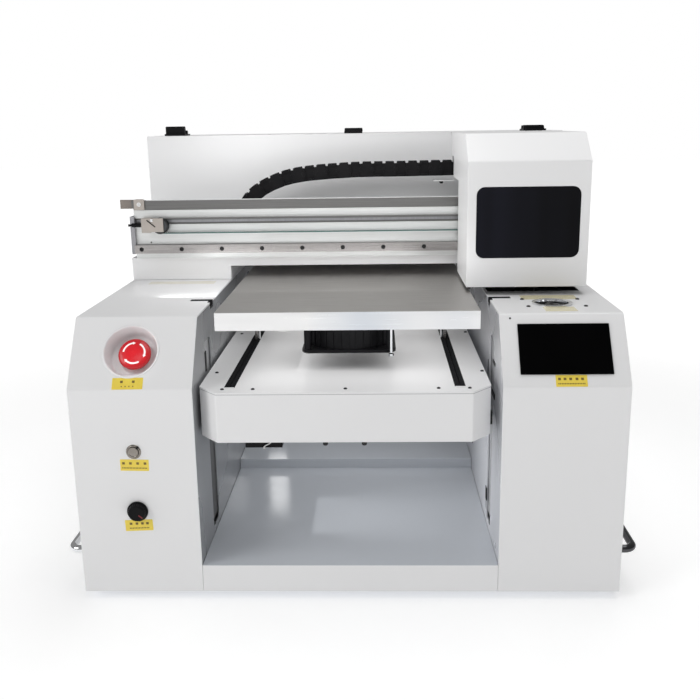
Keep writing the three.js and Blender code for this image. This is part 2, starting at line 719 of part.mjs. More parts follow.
function hood() {
  const { left, right, front, back, bottom, top } = HOOD;
  const outer = polygon([
    [front, bottom], [front, HOOD_CHAMFER.z], [HOOD_CHAMFER.y, top], [back, top],
    [back, HOOD_STEP.z], [HOOD_STEP.y, HOOD_STEP.z], [HOOD_STEP.y, bottom],
  ]);
  const inner = polygon([
    [front + SHEET, bottom - 5], [front + SHEET, HOOD_CHAMFER.z - 0.9], [HOOD_CHAMFER.y + 0.7, top - SHEET],
    [back - SHEET, top - SHEET], [back - SHEET, HOOD_STEP.z - 5], [HOOD_STEP.y + 5, HOOD_STEP.z - 5],
    [HOOD_STEP.y + 5, bottom - 5],
  ]);
  const { left: x0, right: x1, bottom: z0, top: z1, corner } = WINDOW;
  return cut(
    prism("x", outer, left, right),
    prism("x", inner, left + SHEET, right - SHEET),
    prism("y", roundedRectangle(x0 - GAP, x1 + GAP, z0 - GAP, z1 + GAP, corner + GAP), front - 1, front + 3),
    box([left - 1, left + 3], [CHAIN.front - 4, CHAIN.back + 4], [HOOD_STEP.z - 5, 517]),
  );
}

function hoodWindow() {
  const { left, right, bottom, top, corner } = WINDOW;
  const inner = HOOD.front + SHEET + GAP;
  return join(
    prism("y", roundedRectangle(left, right, bottom, top, corner), HOOD.front + 0.2, inner + 1),
    prism("y", roundedRectangle(left - 6, right + 6, bottom - 6, top + 6, corner), inner, inner + 2),
  );
}

function carriagePlate() {
  const front = 298;
  const block = cut(
    box([200, 270], [front + 7, BEAM.front - 0.7], [377.5, 404]),
    box([190, 280], [RAIL.front - 0.4, BEAM.front], [RAIL.bottom - 0.4, RAIL.top + 0.4]),
  );
  return join(
    box([165, 305], [front, front + 8], [372, 470]),
    block,
    box([205, 235], [front + 7, 308.2], [409, 419]),
  );
}

function printHead() {
  return join(
    box([194, 230], [222, 297.7], [366, 440]),
    box([198, 226], [228, 290], [351, 367]),
  );
}

mesh("carriage_plate", carriagePlate(), aluminium, carriage);
mesh("hood", hood(), white, carriage);
mesh("hood_window", hoodWindow(), darkGlass, carriage);
mesh("print_head", printHead(), blackPlastic, carriage);
mesh("uv_lamp", box([246, 298], [228, 297.7], [356, 430]), anodised, carriage);

// A tray with a soft-lipped well that seals the parked print head from below.
function capStation() {
  return join(
    box([192, 300], [212, 296], [300, 306]),
    cut(box([196, 228], [226, 292], [305, 349.7]), box([199, 225], [229, 289], [340, 352])),
  );
}

mesh("cap_station", capStation(), rubber, machine);

export default printer;
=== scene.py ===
"""Looks of the flatbed UV printer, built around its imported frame.

Pieces are modelled in machine millimetres (x right, y back from the front faces, z up from the
underside of the base pan) and placed in the frame's metres by TO_FRAME.
"""

import json
import math

import bmesh
import bpy
from mathutils import Matrix, Vector


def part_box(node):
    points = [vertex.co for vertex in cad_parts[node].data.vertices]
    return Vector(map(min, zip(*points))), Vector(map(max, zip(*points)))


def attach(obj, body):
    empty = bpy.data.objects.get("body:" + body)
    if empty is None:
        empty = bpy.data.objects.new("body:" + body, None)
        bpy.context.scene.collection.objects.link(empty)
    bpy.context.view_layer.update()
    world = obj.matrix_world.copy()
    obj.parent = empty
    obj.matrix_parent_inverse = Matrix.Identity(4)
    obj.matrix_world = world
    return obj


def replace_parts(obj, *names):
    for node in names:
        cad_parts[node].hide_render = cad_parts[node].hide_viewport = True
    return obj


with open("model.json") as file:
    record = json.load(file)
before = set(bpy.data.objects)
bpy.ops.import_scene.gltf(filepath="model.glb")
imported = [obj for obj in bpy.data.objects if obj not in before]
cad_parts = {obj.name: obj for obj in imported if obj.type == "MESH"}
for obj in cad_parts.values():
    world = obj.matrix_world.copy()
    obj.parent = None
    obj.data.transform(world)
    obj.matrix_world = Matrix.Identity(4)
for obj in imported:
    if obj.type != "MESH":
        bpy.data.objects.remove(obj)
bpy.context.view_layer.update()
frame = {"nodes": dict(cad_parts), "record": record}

# ---- places and driving sizes

MM = 0.001
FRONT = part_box("left_tower_cover")[0].y
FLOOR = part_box("base_pan")[0].z
TO_FRAME = Matrix.Translation((0, FRONT, FLOOR)) @ Matrix.Scale(MM, 4)


def machine_box(node):
    """A CAD node's lowest and highest corners in machine millimetres."""
    inverse = TO_FRAME.inverted()
    low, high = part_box(node)
    return inverse @ low, inverse @ high


HALF_WIDTH = 334
GAP_HALF = 184
TOWER_HEIGHT = 342
BEND_HEIGHT = 265.5
SLOPE_DEPTH = 55.4
SLOPE_ANGLE = math.atan2(TOWER_HEIGHT - BEND_HEIGHT, SLOPE_DEPTH)

# Panel frames: x to the right, y up the panel, z out of it.
FRONT_PANEL = TO_FRAME @ Matrix.Rotation(math.pi / 2, 4, "X")
SLOPE_PANEL = TO_FRAME @ Matrix.Translation((0, 0, BEND_HEIGHT)) @ Matrix.Rotation(SLOPE_ANGLE, 4, "X")


# ---- materials


class Look:
    """A Principled material whose colour, roughness and relief vary in the object's own space."""

    def __init__(self, name, colour, roughness, metallic=0.0, **inputs):
        self.material = bpy.data.materials.new(name)
        self.material.use_nodes = True
        self.tree = self.material.node_tree
        self.shader = self.tree.nodes["Principled BSDF"]
        self.colour = (*colour, 1)
        self.shader.inputs["Base Color"].default_value = self.colour
        self.shader.inputs["Roughness"].default_value = roughness
        self.shader.inputs["Metallic"].default_value = metallic
        for socket, value in inputs.items():
            self.shader.inputs[socket.replace("_", " ")].default_value = value
        self.place = self.node("ShaderNodeTexCoord").outputs["Object"]

    def node(self, kind, inputs=(), **settings):
        made = self.tree.nodes.new(kind)
        for key, value in settings.items():
            setattr(made, key, value)
        for socket, value in dict(inputs).items():
            if isinstance(value, bpy.types.NodeSocket):
                self.tree.links.new(value, made.inputs[socket])
            else:
                made.inputs[socket].default_value = value
        return made

    def stretched(self, stretch):
        return self.node("ShaderNodeMapping", {"Vector": self.place, "Scale": stretch}).outputs["Vector"]

    def noise(self, scale, stretch=(1, 1, 1), detail=3.0, rough=0.55):
        return self.node("ShaderNodeTexNoise", {
            "Vector": self.stretched(stretch), "Scale": scale, "Detail": detail, "Roughness": rough,
        }).outputs["Fac"]

    def ramp(self, factor, low, high, start=0.0, end=1.0):
        """The factor spread from start at low to end at high."""
        return self.node("ShaderNodeMapRange", {
            "Value": factor, "From Min": low, "From Max": high, "To Min": start, "To Max": end,
        }).outputs["Result"]

    def vary_colour(self, factor, other, low=0.3, high=0.7):
        mix = self.node("ShaderNodeMix", data_type="RGBA")
        self.tree.links.new(self.ramp(factor, low, high), mix.inputs["Factor"])
        mix.inputs["A"].default_value = self.colour
        mix.inputs["B"].default_value = (*other, 1)
        self.tree.links.new(mix.outputs["Result"], self.shader.inputs["Base Color"])
        return self

    def vary_roughness(self, factor, smoothest, roughest, low=0.3, high=0.7):
        result = self.ramp(factor, low, high, smoothest, roughest)
        self.tree.links.new(result, self.shader.inputs["Roughness"])
        return self

    def relief(self, factor, height, strength=1.0):
        """Raises the surface by up to height metres where the factor is 1."""
        bump = self.node("ShaderNodeBump", {
            "Height": factor, "Distance": height, "Strength": strength,
        })
        self.tree.links.new(bump.outputs["Normal"], self.shader.inputs["Normal"])
        return self


def powder_coat(name, colour, shade, smoothest, roughest):
    look = Look(name, colour, roughest)
    look.vary_colour(look.noise(3.0, detail=2.0), shade)
    look.vary_roughness(look.noise(60.0), smoothest, roughest)
    look.relief(look.noise(900.0, detail=1.0), 0.00003)
    return look.material


def brushed(name, colour, other, roughness, along, metallic=1.0, fineness=900.0, height=0.00001):
    """Metal with fine marks that run along one axis."""
    stretch = tuple(0.02 if axis == along else 1.0 for axis in "xyz")
    look = Look(name, colour, roughness, metallic)
    marks = look.noise(fineness, stretch, detail=4.0, rough=0.65)
    look.vary_colour(marks, other)
    look.vary_roughness(marks, roughness * 0.8, roughness * 1.2)
    look.relief(marks, height)
    return look.material


def moulded(name, colour, other, roughness, height=0.00002, metallic=0.0, grain=1200.0, shine=0.5):
    look = Look(name, colour, roughness, metallic, Specular_IOR_Level=shine)
    texture = look.noise(grain, detail=2.0)
    look.vary_colour(look.noise(35.0), other)
    look.vary_roughness(texture, roughness * 0.85, roughness * 1.15)
    look.relief(texture, height)
    return look.material


def inner_sheet(name, colour, other):
    """Smooth grey sheet inside the towers' gap, with a soft uneven sheen."""
    look = Look(name, colour, 0.26, 0.25)
    look.vary_colour(look.noise(9.0, (1, 1, 0.35), detail=1.0), other, 0.35, 0.65)
    look.vary_roughness(look.noise(6.0, detail=1.0), 0.22, 0.34)
    return look.material


def dark_glass_painted_reflections(name, colour, other, roughness, shine):
    look = Look(name, colour, roughness, Specular_IOR_Level=shine)
    # Bands up and down the glass, bluish in the window, are painted reflections.
    look.vary_colour(look.noise(14.0, (1, 1, 0.06), detail=2.0), other)
    look.vary_roughness(look.noise(40.0), roughness, roughness * 2)
    return look.material


def milled_edge():
    """The platen's sawn and milled sides: fine level streaks and a slow change of tone."""
    look = Look("milled_edge", (0.84, 0.84, 0.84), 0.34, 1.0)
    marks = look.noise(900.0, (0.012, 0.05, 1), detail=3.0)
    sweep = look.noise(5.0, (1, 0.2, 0.05), detail=1.5)
    look.vary_colour(sweep, (0.60, 0.65, 0.72), 0.56, 0.72)
    look.vary_roughness(marks, 0.26, 0.44)
    look.relief(marks, 0.00003)
    return look.material


def brush_hair():
    look = Look("brush_hair", (0.005, 0.005, 0.006), 0.8, Specular_IOR_Level=0.1)
    hair = look.noise(2500.0, (0.05, 1, 1), detail=2.0)
    look.vary_colour(hair, (0.010, 0.010, 0.012))
    look.relief(hair, 0.0004)
    return look.material


def sticker():
    look = Look("sticker", (0.92, 0.72, 0.09), 0.4)
    look.vary_colour(look.noise(160.0), (0.87, 0.66, 0.08))
    look.vary_roughness(look.noise(500.0), 0.3, 0.5)
    return look.material


WHITE = powder_coat("white_coat", (0.87, 0.87, 0.875), (0.85, 0.85, 0.855), 0.34, 0.42)
# The inner walls are one grey sheet: the left wall's copy is painted dark as shade, the right wall's copy
# painted light as lit.
INNER_LEFT_PAINTED_SHADE = inner_sheet("inner_left", (0.38, 0.39, 0.405), (0.31, 0.32, 0.335))
INNER_RIGHT_PAINTED_LIGHT = inner_sheet("inner_right", (0.76, 0.77, 0.80), (0.64, 0.65, 0.68))
DECK = powder_coat("deck_coat", (0.66, 0.69, 0.735), (0.63, 0.66, 0.705), 0.12, 0.2)
PLATEN_TOP = brushed("platen_top", (0.51, 0.495, 0.475), (0.445, 0.43, 0.415), 0.42, "x", fineness=700.0)
MILLED = milled_edge()
ANODISED = brushed("anodised", (0.82, 0.83, 0.825), (0.75, 0.76, 0.755), 0.38, "x", metallic=0.5)
STEEL = brushed("ground_steel", (0.42, 0.40, 0.395), (0.33, 0.315, 0.31), 0.28, "x")
WHEEL = moulded("dark_wheel", (0.10, 0.105, 0.11), (0.07, 0.075, 0.08), 0.32, 0.00001, 0.7)
TURNED = moulded("turned_steel", (0.58, 0.57, 0.56), (0.48, 0.47, 0.46), 0.28, 0.00001, 1.0)
BUTTON_STEEL = moulded("button_steel", (0.30, 0.275, 0.245), (0.24, 0.22, 0.2), 0.22, 0.000005, 1.0)
POINTER = moulded("red_pointer", (0.2, 0.012, 0.016), (0.17, 0.01, 0.013), 0.3)
BRASS = moulded("brass", (0.62, 0.45, 0.18), (0.54, 0.38, 0.15), 0.3, 0.00001, 1.0)
CHROME = moulded("chrome", (0.82, 0.83, 0.84), (0.76, 0.77, 0.79), 0.07, 0.000002, 1.0)
# Chrome painted dark: a painted dark reflection for the right handle.
CHROME_PAINTED_DARK_REFLECTION = moulded("dark_chrome", (0.10, 0.10, 0.105), (0.07, 0.07, 0.075), 0.1, 0.000002, 1.0)
# Metal painted mid grey as shade: the beam's end plate and flange, and the floor of the beam's groove.
END_GREY_PAINTED_SHADE = brushed("end_grey", (0.40, 0.40, 0.42), (0.32, 0.32, 0.34), 0.4, "z", metallic=0.6)
# The encoder strip's own dark grey, also the belt's back, and painted shade in the beam's groove and on the
# belt's upper run.
STRIP_AND_PAINTED_SHADE = brushed("grey_strip", (0.20, 0.198, 0.195), (0.165, 0.163, 0.16), 0.4, "x", metallic=0.5)
TAB = moulded("bare_casting", (0.52, 0.47, 0.43), (0.46, 0.42, 0.385), 0.4, 0.00001, 0.6)
BRONZE = moulded("bronze_tab", (0.28, 0.245, 0.22), (0.22, 0.195, 0.18), 0.45, 0.00002, 0.6)
BLACK = moulded("black_plastic", (0.004, 0.004, 0.005), (0.007, 0.007, 0.008), 0.42, shine=0.12)
CHAIN_LOOK = moulded("chain_plastic", (0.005, 0.005, 0.006), (0.010, 0.009, 0.010), 0.5, shine=0.15)
BLACK_METAL = moulded("black_metal", (0.012, 0.012, 0.013), (0.02, 0.02, 0.021), 0.4, 0.00002, shine=0.4)
RUBBER = moulded("rubber", (0.012, 0.012, 0.012), (0.02, 0.02, 0.02), 0.75, 0.00004)
BELT = moulded("belt", (0.008, 0.12, 0.105), (0.006, 0.09, 0.08), 0.6)
RED = moulded("red_plastic", (0.50, 0.008, 0.014), (0.45, 0.007, 0.012), 0.25, 0.000005)
SIGN_WHITE = moulded("printed_white", (0.85, 0.85, 0.85), (0.8, 0.8, 0.8), 0.45)
PRINT_DARK = moulded("printed_dark", (0.20, 0.13, 0.02), (0.15, 0.1, 0.02), 0.5)
DISH = powder_coat("dish_plastic", (0.88, 0.87, 0.875), (0.85, 0.84, 0.85), 0.2, 0.26)
TANK = moulded("tank_plastic", (0.5, 0.52, 0.54), (0.42, 0.44, 0.46), 0.3)
TAPE = moulded("clear_tape", (0.80, 0.74, 0.52), (0.76, 0.7, 0.47), 0.25)
FAINT = moulded("faint_gold", (0.76, 0.72, 0.58), (0.79, 0.77, 0.70), 0.35)
# The window and screen glass carry painted reflection bands.
WINDOW_LOOK = dark_glass_painted_reflections("dark_window", (0.0025, 0.0025, 0.003), (0.010, 0.0105, 0.017), 0.05, 0.06)
SCREEN_LOOK = dark_glass_painted_reflections("screen_glass", (0.0012, 0.0012, 0.0013), (0.002, 0.002, 0.0022), 0.06, 0.03)
HAIR = brush_hair()
STICKER = sticker()
SLOT_GREY = powder_coat("slot_grey", (0.42, 0.425, 0.44), (0.36, 0.365, 0.38), 0.4, 0.5)
# The left slot's bristles, painted dark as shade on the left wall.
BRISTLE_PAINTED_SHADE = powder_coat("slot_bristle", (0.16, 0.158, 0.16), (0.12, 0.12, 0.122), 0.6, 0.7)
WIRE_WHITE = moulded("white_wire", (0.75, 0.75, 0.74), (0.7, 0.7, 0.69), 0.4)


# ---- mesh tools

# Where a shape's plane (a, b) and its length c lie for each axis.
AXES = {
    "x": lambda a, b, c: (c, a, b),
    "y": lambda a, b, c: (a, c, b),
    "z": lambda a, b, c: (a, b, c),
}


def centre_of(node, axis):
    """The middle of a CAD node in the plane across an axis."""
    low, high = machine_box(node)
    x, y, z = (low + high) / 2
    return {"x": (y, z), "y": (x, z), "z": (x, y)}[axis]


def loop(steps, reach):
    """Points round the origin, each as far out as reach says for its turn."""
    turns = [math.tau * k / steps for k in range(steps)]
    return [(reach(turn) * math.cos(turn), reach(turn) * math.sin(turn)) for turn in turns]


def rounded(x0, x1, y0, y1, radius, steps=6):
    """Corner-rounded rectangle, anticlockwise."""
    points = []
    corners = [(x1 - radius, y0 + radius), (x1 - radius, y1 - radius),
               (x0 + radius, y1 - radius), (x0 + radius, y0 + radius)]
    for quarter, (cx, cy) in enumerate(corners):
        for k in range(steps + 1):
            turn = math.pi / 2 * (quarter - 1 + k / steps)
            points.append((cx + radius * math.cos(turn), cy + radius * math.sin(turn)))
    return points


def raised(profile, base, out=1):
    """A profile whose heights are measured from a base, outwards."""
    return [(radius, base + out * height) for radius, height in profile]


def box(bm, x, y, z):
    size = (x[1] - x[0], y[1] - y[0], z[1] - z[0])
    centre = ((x[0] + x[1]) / 2, (y[0] + y[1]) / 2, (z[0] + z[1]) / 2)
    matrix = Matrix.Translation(centre) @ Matrix.Diagonal((*size, 1))
    return bmesh.ops.create_cube(bm, size=1, matrix=matrix)["verts"]


def skin(bm, rings, closed=False):
    """Faces between neighbouring rings of vertices, with a cap at each end unless they close."""
    for a, b in zip(rings, rings[1:] + rings[:1] if closed else rings[1:]):
        for k in range(len(a)):
            j = (k + 1) % len(a)
            bm.faces.new((a[k], a[j], b[j], b[k]))
    if not closed:
        bm.faces.new(rings[0])
        bm.faces.new(rings[-1])


def loft(bm, axis, centre, sections, closed=False):
    """A skin over sections, each a list of points round centre and its height along the axis."""
    place = AXES[axis]
    rings = [[bm.verts.new(place(centre[0] + a, centre[1] + b, height)) for a, b in points]
             for points, height in sections]
    skin(bm, rings, closed)
    return [vert for ring in rings for vert in ring]


def prism(bm, axis, points, low, high):
    return loft(bm, axis, (0, 0), [(points, low), (points, high)])


def lathe(bm, axis, centre, profile, steps=48, closed=False):
    """Turns a profile of (radius, height) about an axis through centre."""
    place = AXES[axis]
    rings = []
    for radius, height in profile:
        points = loop(steps, lambda turn: radius) if radius > 1e-6 else [(0, 0)]
        rings.append([bm.verts.new(place(centre[0] + a, centre[1] + b, height)) for a, b in points])
    for a, b in zip(rings, rings[1:] + rings[:1] if closed else rings[1:]):
        for k in range(steps):
            corners = [a[k % len(a)], a[(k + 1) % len(a)], b[(k + 1) % len(b)], b[k % len(b)]]
            unique = list(dict.fromkeys(corners))
            if len(unique) > 2:
                bm.faces.new(unique)
    return [vert for ring in rings for vert in ring]


def rod(bm, axis, centre, radius, low, high, steps=24, chamfer=0.3):
    chamfer = min(chamfer, radius / 2, (high - low) / 3)
    return lathe(bm, axis, centre, [
        (0, low), (radius - chamfer, low), (radius, low + chamfer),
        (radius, high - chamfer), (radius - chamfer, high), (0, high),
    ], steps)


def turned(bm, axis, centre, angle, tool, *sizes):
    """A shape drawn round the origin, turned by an angle and set on an axis through centre."""
    matrix = Matrix.Translation(AXES[axis](*centre, 0)) @ Matrix.Rotation(angle, 4, axis.upper())
    bmesh.ops.transform(bm, matrix=matrix, verts=tool(bm, *sizes))


def spokes(bm, axis, centre, count, start, *spans):
    """Boxes spread round an axis; start is the first one's share of a step."""
    for k in range(count):
        turned(bm, axis, centre, math.tau * (k + start) / count, box, *spans)


def screw(bm, axis, centre, surface, radius, out=1, height=None):
    """A pan-head screw with a socket, standing on a surface that faces along out."""
    steps = [(0, -0.3), (1, -0.3), (1, 0.35), (0.86, 0.8), (0.6, 1), (0.44, 1), (0.38, 0.3), (0, 0.3)]
    height = height or radius * 0.6
    lathe(bm, axis, centre, raised([(r * radius, h * height) for r, h in steps], surface, out), 20)


def linked(name, data):
    made = bpy.data.objects.new(name, data)
    bpy.context.scene.collection.objects.link(made)
    return made


def piece(name, bm, body, look, place=TO_FRAME, edge=0.0, segments=2, smooth=35):
    """A closed mesh in millimetres as an object that rides on a body, with its edges broken."""
    bmesh.ops.transform(bm, matrix=place, verts=bm.verts)
    bmesh.ops.recalc_face_normals(bm, faces=bm.faces)
    mesh = bpy.data.meshes.new(name)
    bm.to_mesh(mesh)
    bm.free()
    made = linked(name, mesh)
    looks = look if isinstance(look, (list, tuple)) else [look]
    for material in looks:
        mesh.materials.append(material)
    if edge:
        bevel = made.modifiers.new("edges", "BEVEL")
        bevel.width = edge * MM
        bevel.segments = segments
        bevel.limit_method = "ANGLE"
        bevel.angle_limit = math.radians(32)
        bevel.use_clamp_overlap = True
        made.data = bpy.data.meshes.new_from_object(
            made.evaluated_get(bpy.context.evaluated_depsgraph_get()))
        made.modifiers.clear()
    made.data.polygons.foreach_set("use_smooth", [True] * len(made.data.polygons))
    made.data.set_sharp_from_angle(angle=math.radians(smooth))
    if edge:
        weighted = made.modifiers.new("normals", "WEIGHTED_NORMAL")
        weighted.keep_sharp = True
    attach(made, body)
    return made


def part(name, body, look, *shapes, **finish):
    """A piece made of shapes, each a mesh tool followed by its sizes."""
    bm = bmesh.new()
    for tool, *sizes in shapes:
        tool(bm, *sizes)
    return piece(name, bm, body, look, **finish)


def screws(name, body, look, axis, surface, radius, centres, out=1, height=None, place=TO_FRAME):
    return part(name, body, look, *(
        (screw, axis, centre, surface, radius, out, height) for centre in centres), place=place, smooth=40)


def refine(node, look, edge=0.4, bend=0.0):
    """A CAD node's own shape with its long bends rounded and its edges broken."""
    bm = bmesh.new()
    bm.from_mesh(frame["nodes"][node].data)
    bmesh.ops.transform(bm, matrix=TO_FRAME.inverted(), verts=bm.verts)
    bmesh.ops.remove_doubles(bm, verts=bm.verts, dist=0.001)
    bmesh.ops.dissolve_limit(bm, angle_limit=math.radians(0.5), verts=bm.verts, edges=bm.edges)
    if bend:
        folds = [e for e in bm.edges if len(e.link_faces) == 2 and e.calc_length() > 40
                 and math.radians(25) < e.calc_face_angle(0) < math.radians(75)]
        bmesh.ops.bevel(bm, geom=folds, offset=bend, segments=5, affect="EDGES", profile=0.5,
                        clamp_overlap=True)
    bodies = frame["record"]["behaviour"]["bodies"]
    body = next(body for body, members in bodies.items() if node in members)
    made = piece(node + "_skin", bm, body, look, edge=edge)
    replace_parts(made, node)
    return made


# ---- camera, floor and light

CAMERA_PLACE = (37.3, -1011.0, 566.4)
LOOK_LEFT = 0.0323
LOOK_DOWN = 0.2466
ROLL = -0.0154

camera_data = bpy.data.cameras.new("camera")
camera_data.lens = 46.0
camera_data.sensor_width = 36.0
camera_data.clip_start = 0.05
camera_data.clip_end = 50
camera = linked("camera", camera_data)
forward = Vector((-math.sin(LOOK_LEFT) * math.cos(LOOK_DOWN),
                  math.cos(LOOK_LEFT) * math.cos(LOOK_DOWN), -math.sin(LOOK_DOWN)))
level_right = Vector((math.cos(LOOK_LEFT), math.sin(LOOK_LEFT), 0))
level_up = level_right.cross(forward)
right = math.cos(ROLL) * level_right + math.sin(ROLL) * level_up
up = -math.sin(ROLL) * level_right + math.cos(ROLL) * level_up
camera.matrix_world = Matrix.Translation(TO_FRAME @ Vector(CAMERA_PLACE)) @ Matrix(
    (right, up, -forward)).transposed().to_4x4()
bpy.context.scene.camera = camera


def floor():
    bm = bmesh.new()
    bmesh.ops.create_grid(bm, x_segments=1, y_segments=1, size=12)
    mesh = bpy.data.meshes.new("floor")
    bm.to_mesh(mesh)
    bm.free()
    made = linked("floor", mesh)
    look = Look("floor", (0.93, 0.93, 0.93), 0.9, Emission_Color=(1, 1, 1, 1))
    look.vary_colour(look.noise(1.0), (0.92, 0.92, 0.92))
    reach = look.node("ShaderNodeVectorMath", {"Vector": look.place}, operation="LENGTH").outputs["Value"]
    glow = look.node("ShaderNodeMapRange", {
        "Value": reach, "From Min": 0.7, "From Max": 2.2, "To Min": 0.33, "To Max": 0.8,
    }, interpolation_type="SMOOTHSTEP").outputs["Result"]
    look.tree.links.new(glow, look.shader.inputs["Emission Strength"])
    mesh.materials.append(look.material)


def softbox(name, place, target, size, power, spread=180, mirrored=True):
    data = bpy.data.lights.new(name, "AREA")
    data.shape = "RECTANGLE"
    data.size, data.size_y = size
    data.energy = power
    data.spread = math.radians(spread)
    made = linked(name, data)
    made.visible_camera = False
    made.visible_glossy = mirrored
    made.location = place
    made.rotation_euler = (Vector(target) - Vector(place)).to_track_quat("-Z", "Y").to_euler()


def fill(name, place, target, size, power, **settings):
    """A small weak softbox placed in the machine's own millimetres."""
    softbox(name, TO_FRAME @ Vector(place), TO_FRAME @ Vector(target), size, power, **settings)


floor()
softbox("top_light", (0.5, 0.28, 2.6), (0.35, 0.28, 0), (3.0, 1.6), 32)
softbox("left_light", (-2.2, -1.6, 1.6), (0, 0, 0.3), (1.4, 1.4), 21.5)
softbox("low_front_light", (0.0, -3.0, 0.7), (0, 0, 0.25), (3.0, 1.0), 1)
fill("tray_fill", (0, 270, 324), (0, 271, 100), (0.30, 0.46), 0.36)
fill("tray_front_fill", (0, 66, 318), (0, 90, 257), (0.28, 0.04), 0.03)
fill("beam_fill", (-80, 180, 352), (-80, 320, 372), (0.36, 0.02), 0.08)
fill("portal_fill", (-10, 120, 395), (-10, 320, 372), (0.32, 0.02), 0.085, mirrored=False)
fill("housing_fill", (-90, 225, 590), (0, 330, 450), (0.40, 0.06), 0.27)
fill("bay_fill", (0, 230, 184), (0, 231, 0), (0.34, 0.42), 0.23, mirrored=False)
fill("wall_fill", (-60, 150, 150), (184, 150, 165), (0.12, 0.26), 0.15, spread=90, mirrored=False)
fill("deck_glint", (-143, 490, 145), (-112, 237, 36), (0.032, 0.075), 0.022)
fill("cup_fill", (-285, -70, 415), (-259, 28, 300), (0.02, 0.02), 0.0035, spread=22, mirrored=False)


def studio(light, backdrop):
    """A white dome that lights the object at one strength and is seen behind it at another."""
    world = bpy.data.worlds.new("studio")
    world.use_nodes = True
    tree = world.node_tree
    seen = tree.nodes.new("ShaderNodeLightPath").outputs["Is Camera Ray"]
    strength = tree.nodes.new("ShaderNodeMapRange")
    strength.inputs["To Min"].default_value = light
    strength.inputs["To Max"].default_value = backdrop
    tree.links.new(seen, strength.inputs["Value"])
    background = tree.nodes["Background"]
    background.inputs["Color"].default_value = (1, 1, 1, 1)
    tree.links.new(strength.outputs["Result"], background.inputs["Strength"])
    bpy.context.scene.world = world


studio(0.27, 1.0)
bpy.context.scene.view_settings.view_transform = "Standard"


# ---- base, towers and walls

for node in ("left_tower_cover", "right_tower_cover"):
    refine(node, WHITE, edge=0.5, bend=2.0)
for node in ("left_side_panel", "right_side_panel", "portal_frame", "back_panel"):
    refine(node, WHITE)
# The left wall gets the painted-shade grey, the right wall the painted-light grey.
refine("left_inner_wall", INNER_LEFT_PAINTED_SHADE)
refine("right_inner_wall", INNER_RIGHT_PAINTED_LIGHT)
pan = refine("base_pan", [DECK, WHITE], edge=0.5)
for face in pan.data.polygons:
    face.material_index = int(abs(face.normal.z) < 0.5 and face.center.y < FRONT + 0.01)


def feet():
    """Ribbed rubber feet under a plated washer."""
    for node in ("front_left_foot", "front_right_foot", "rear_left_foot", "rear_right_foot"):
        centre = centre_of(node, "z")
        base, top = (corner.z for corner in machine_box(node))
        ribs = [(0, 0.6), (11, 0.6), (12, 0), (17.5, 0), (18.6, 1), (19.4, 2.4), (18.6, 3.2), (19.2, 4.2),
                (18.4, 5), (18.9, 6), (18.0, 6.8)]
        profile = raised(ribs, base) + raised([(18.2, -1.2), (17.6, -0.8), (0, -0.8)], top)
        rubber = part(node + "_rubber", "machine", RUBBER, (lathe, "z", centre, profile, 64), smooth=50)
        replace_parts(rubber, node)
        part(node + "_washer", "machine", TURNED, (rod, "z", centre, 14, top - 0.9, top, 40, 0.2))


def handles():
    """Bent round bars on turned flanges, one on each outer side; the right one is chrome painted dark as a
    dark reflection.
    """
    bar, bend, length = 5.0, 12.0, 120.0
    for side, node, look in ((-1, "left_handle", CHROME), (1, "right_handle", CHROME_PAINTED_DARK_REFLECTION)):
        low, high = machine_box(node)
        reach = (high.x - low.x) - bar
        y0 = (low.y + high.y - length) / 2
        z = (low.z + high.z) / 2
        path = [(0, 0), (reach - bend, 0)]
        path += [(reach - bend + bend * math.sin(t), bend - bend * math.cos(t))
                 for t in (math.pi / 2 * k / 10 for k in range(1, 10))]
        path += [(reach, bend), (reach, length / 2)]
        path += [(x, length - y) for x, y in reversed(path[:-1])]
        bm = bmesh.new()
        rings = []
        for k, (x, y) in enumerate(path):
            ahead = Vector(path[min(k + 1, len(path) - 1)]) - Vector(path[max(k - 1, 0)])
            ahead.normalize()
            rings.append([
                bm.verts.new((side * (HALF_WIDTH + 0.3 + x + a * ahead.y), y0 + y - a * ahead.x, z + b))
                for a, b in loop(28, lambda turn: bar)
            ])
        skin(bm, rings)
        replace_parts(piece(node + "_bar", bm, "machine", look, smooth=50), node)
        flange = raised([(bar - 0.3, 0), (9.5, 0), (9.5, 1.2), (8.5, 2.2), (bar - 0.3, 2.6)],
                        side * (HALF_WIDTH + 0.2), side)
        part(node + "_flanges", "machine", look, (lathe, "x", (y0, z), flange, 48, True),
             (lathe, "x", (y0 + length, z), flange, 48, True), smooth=40)


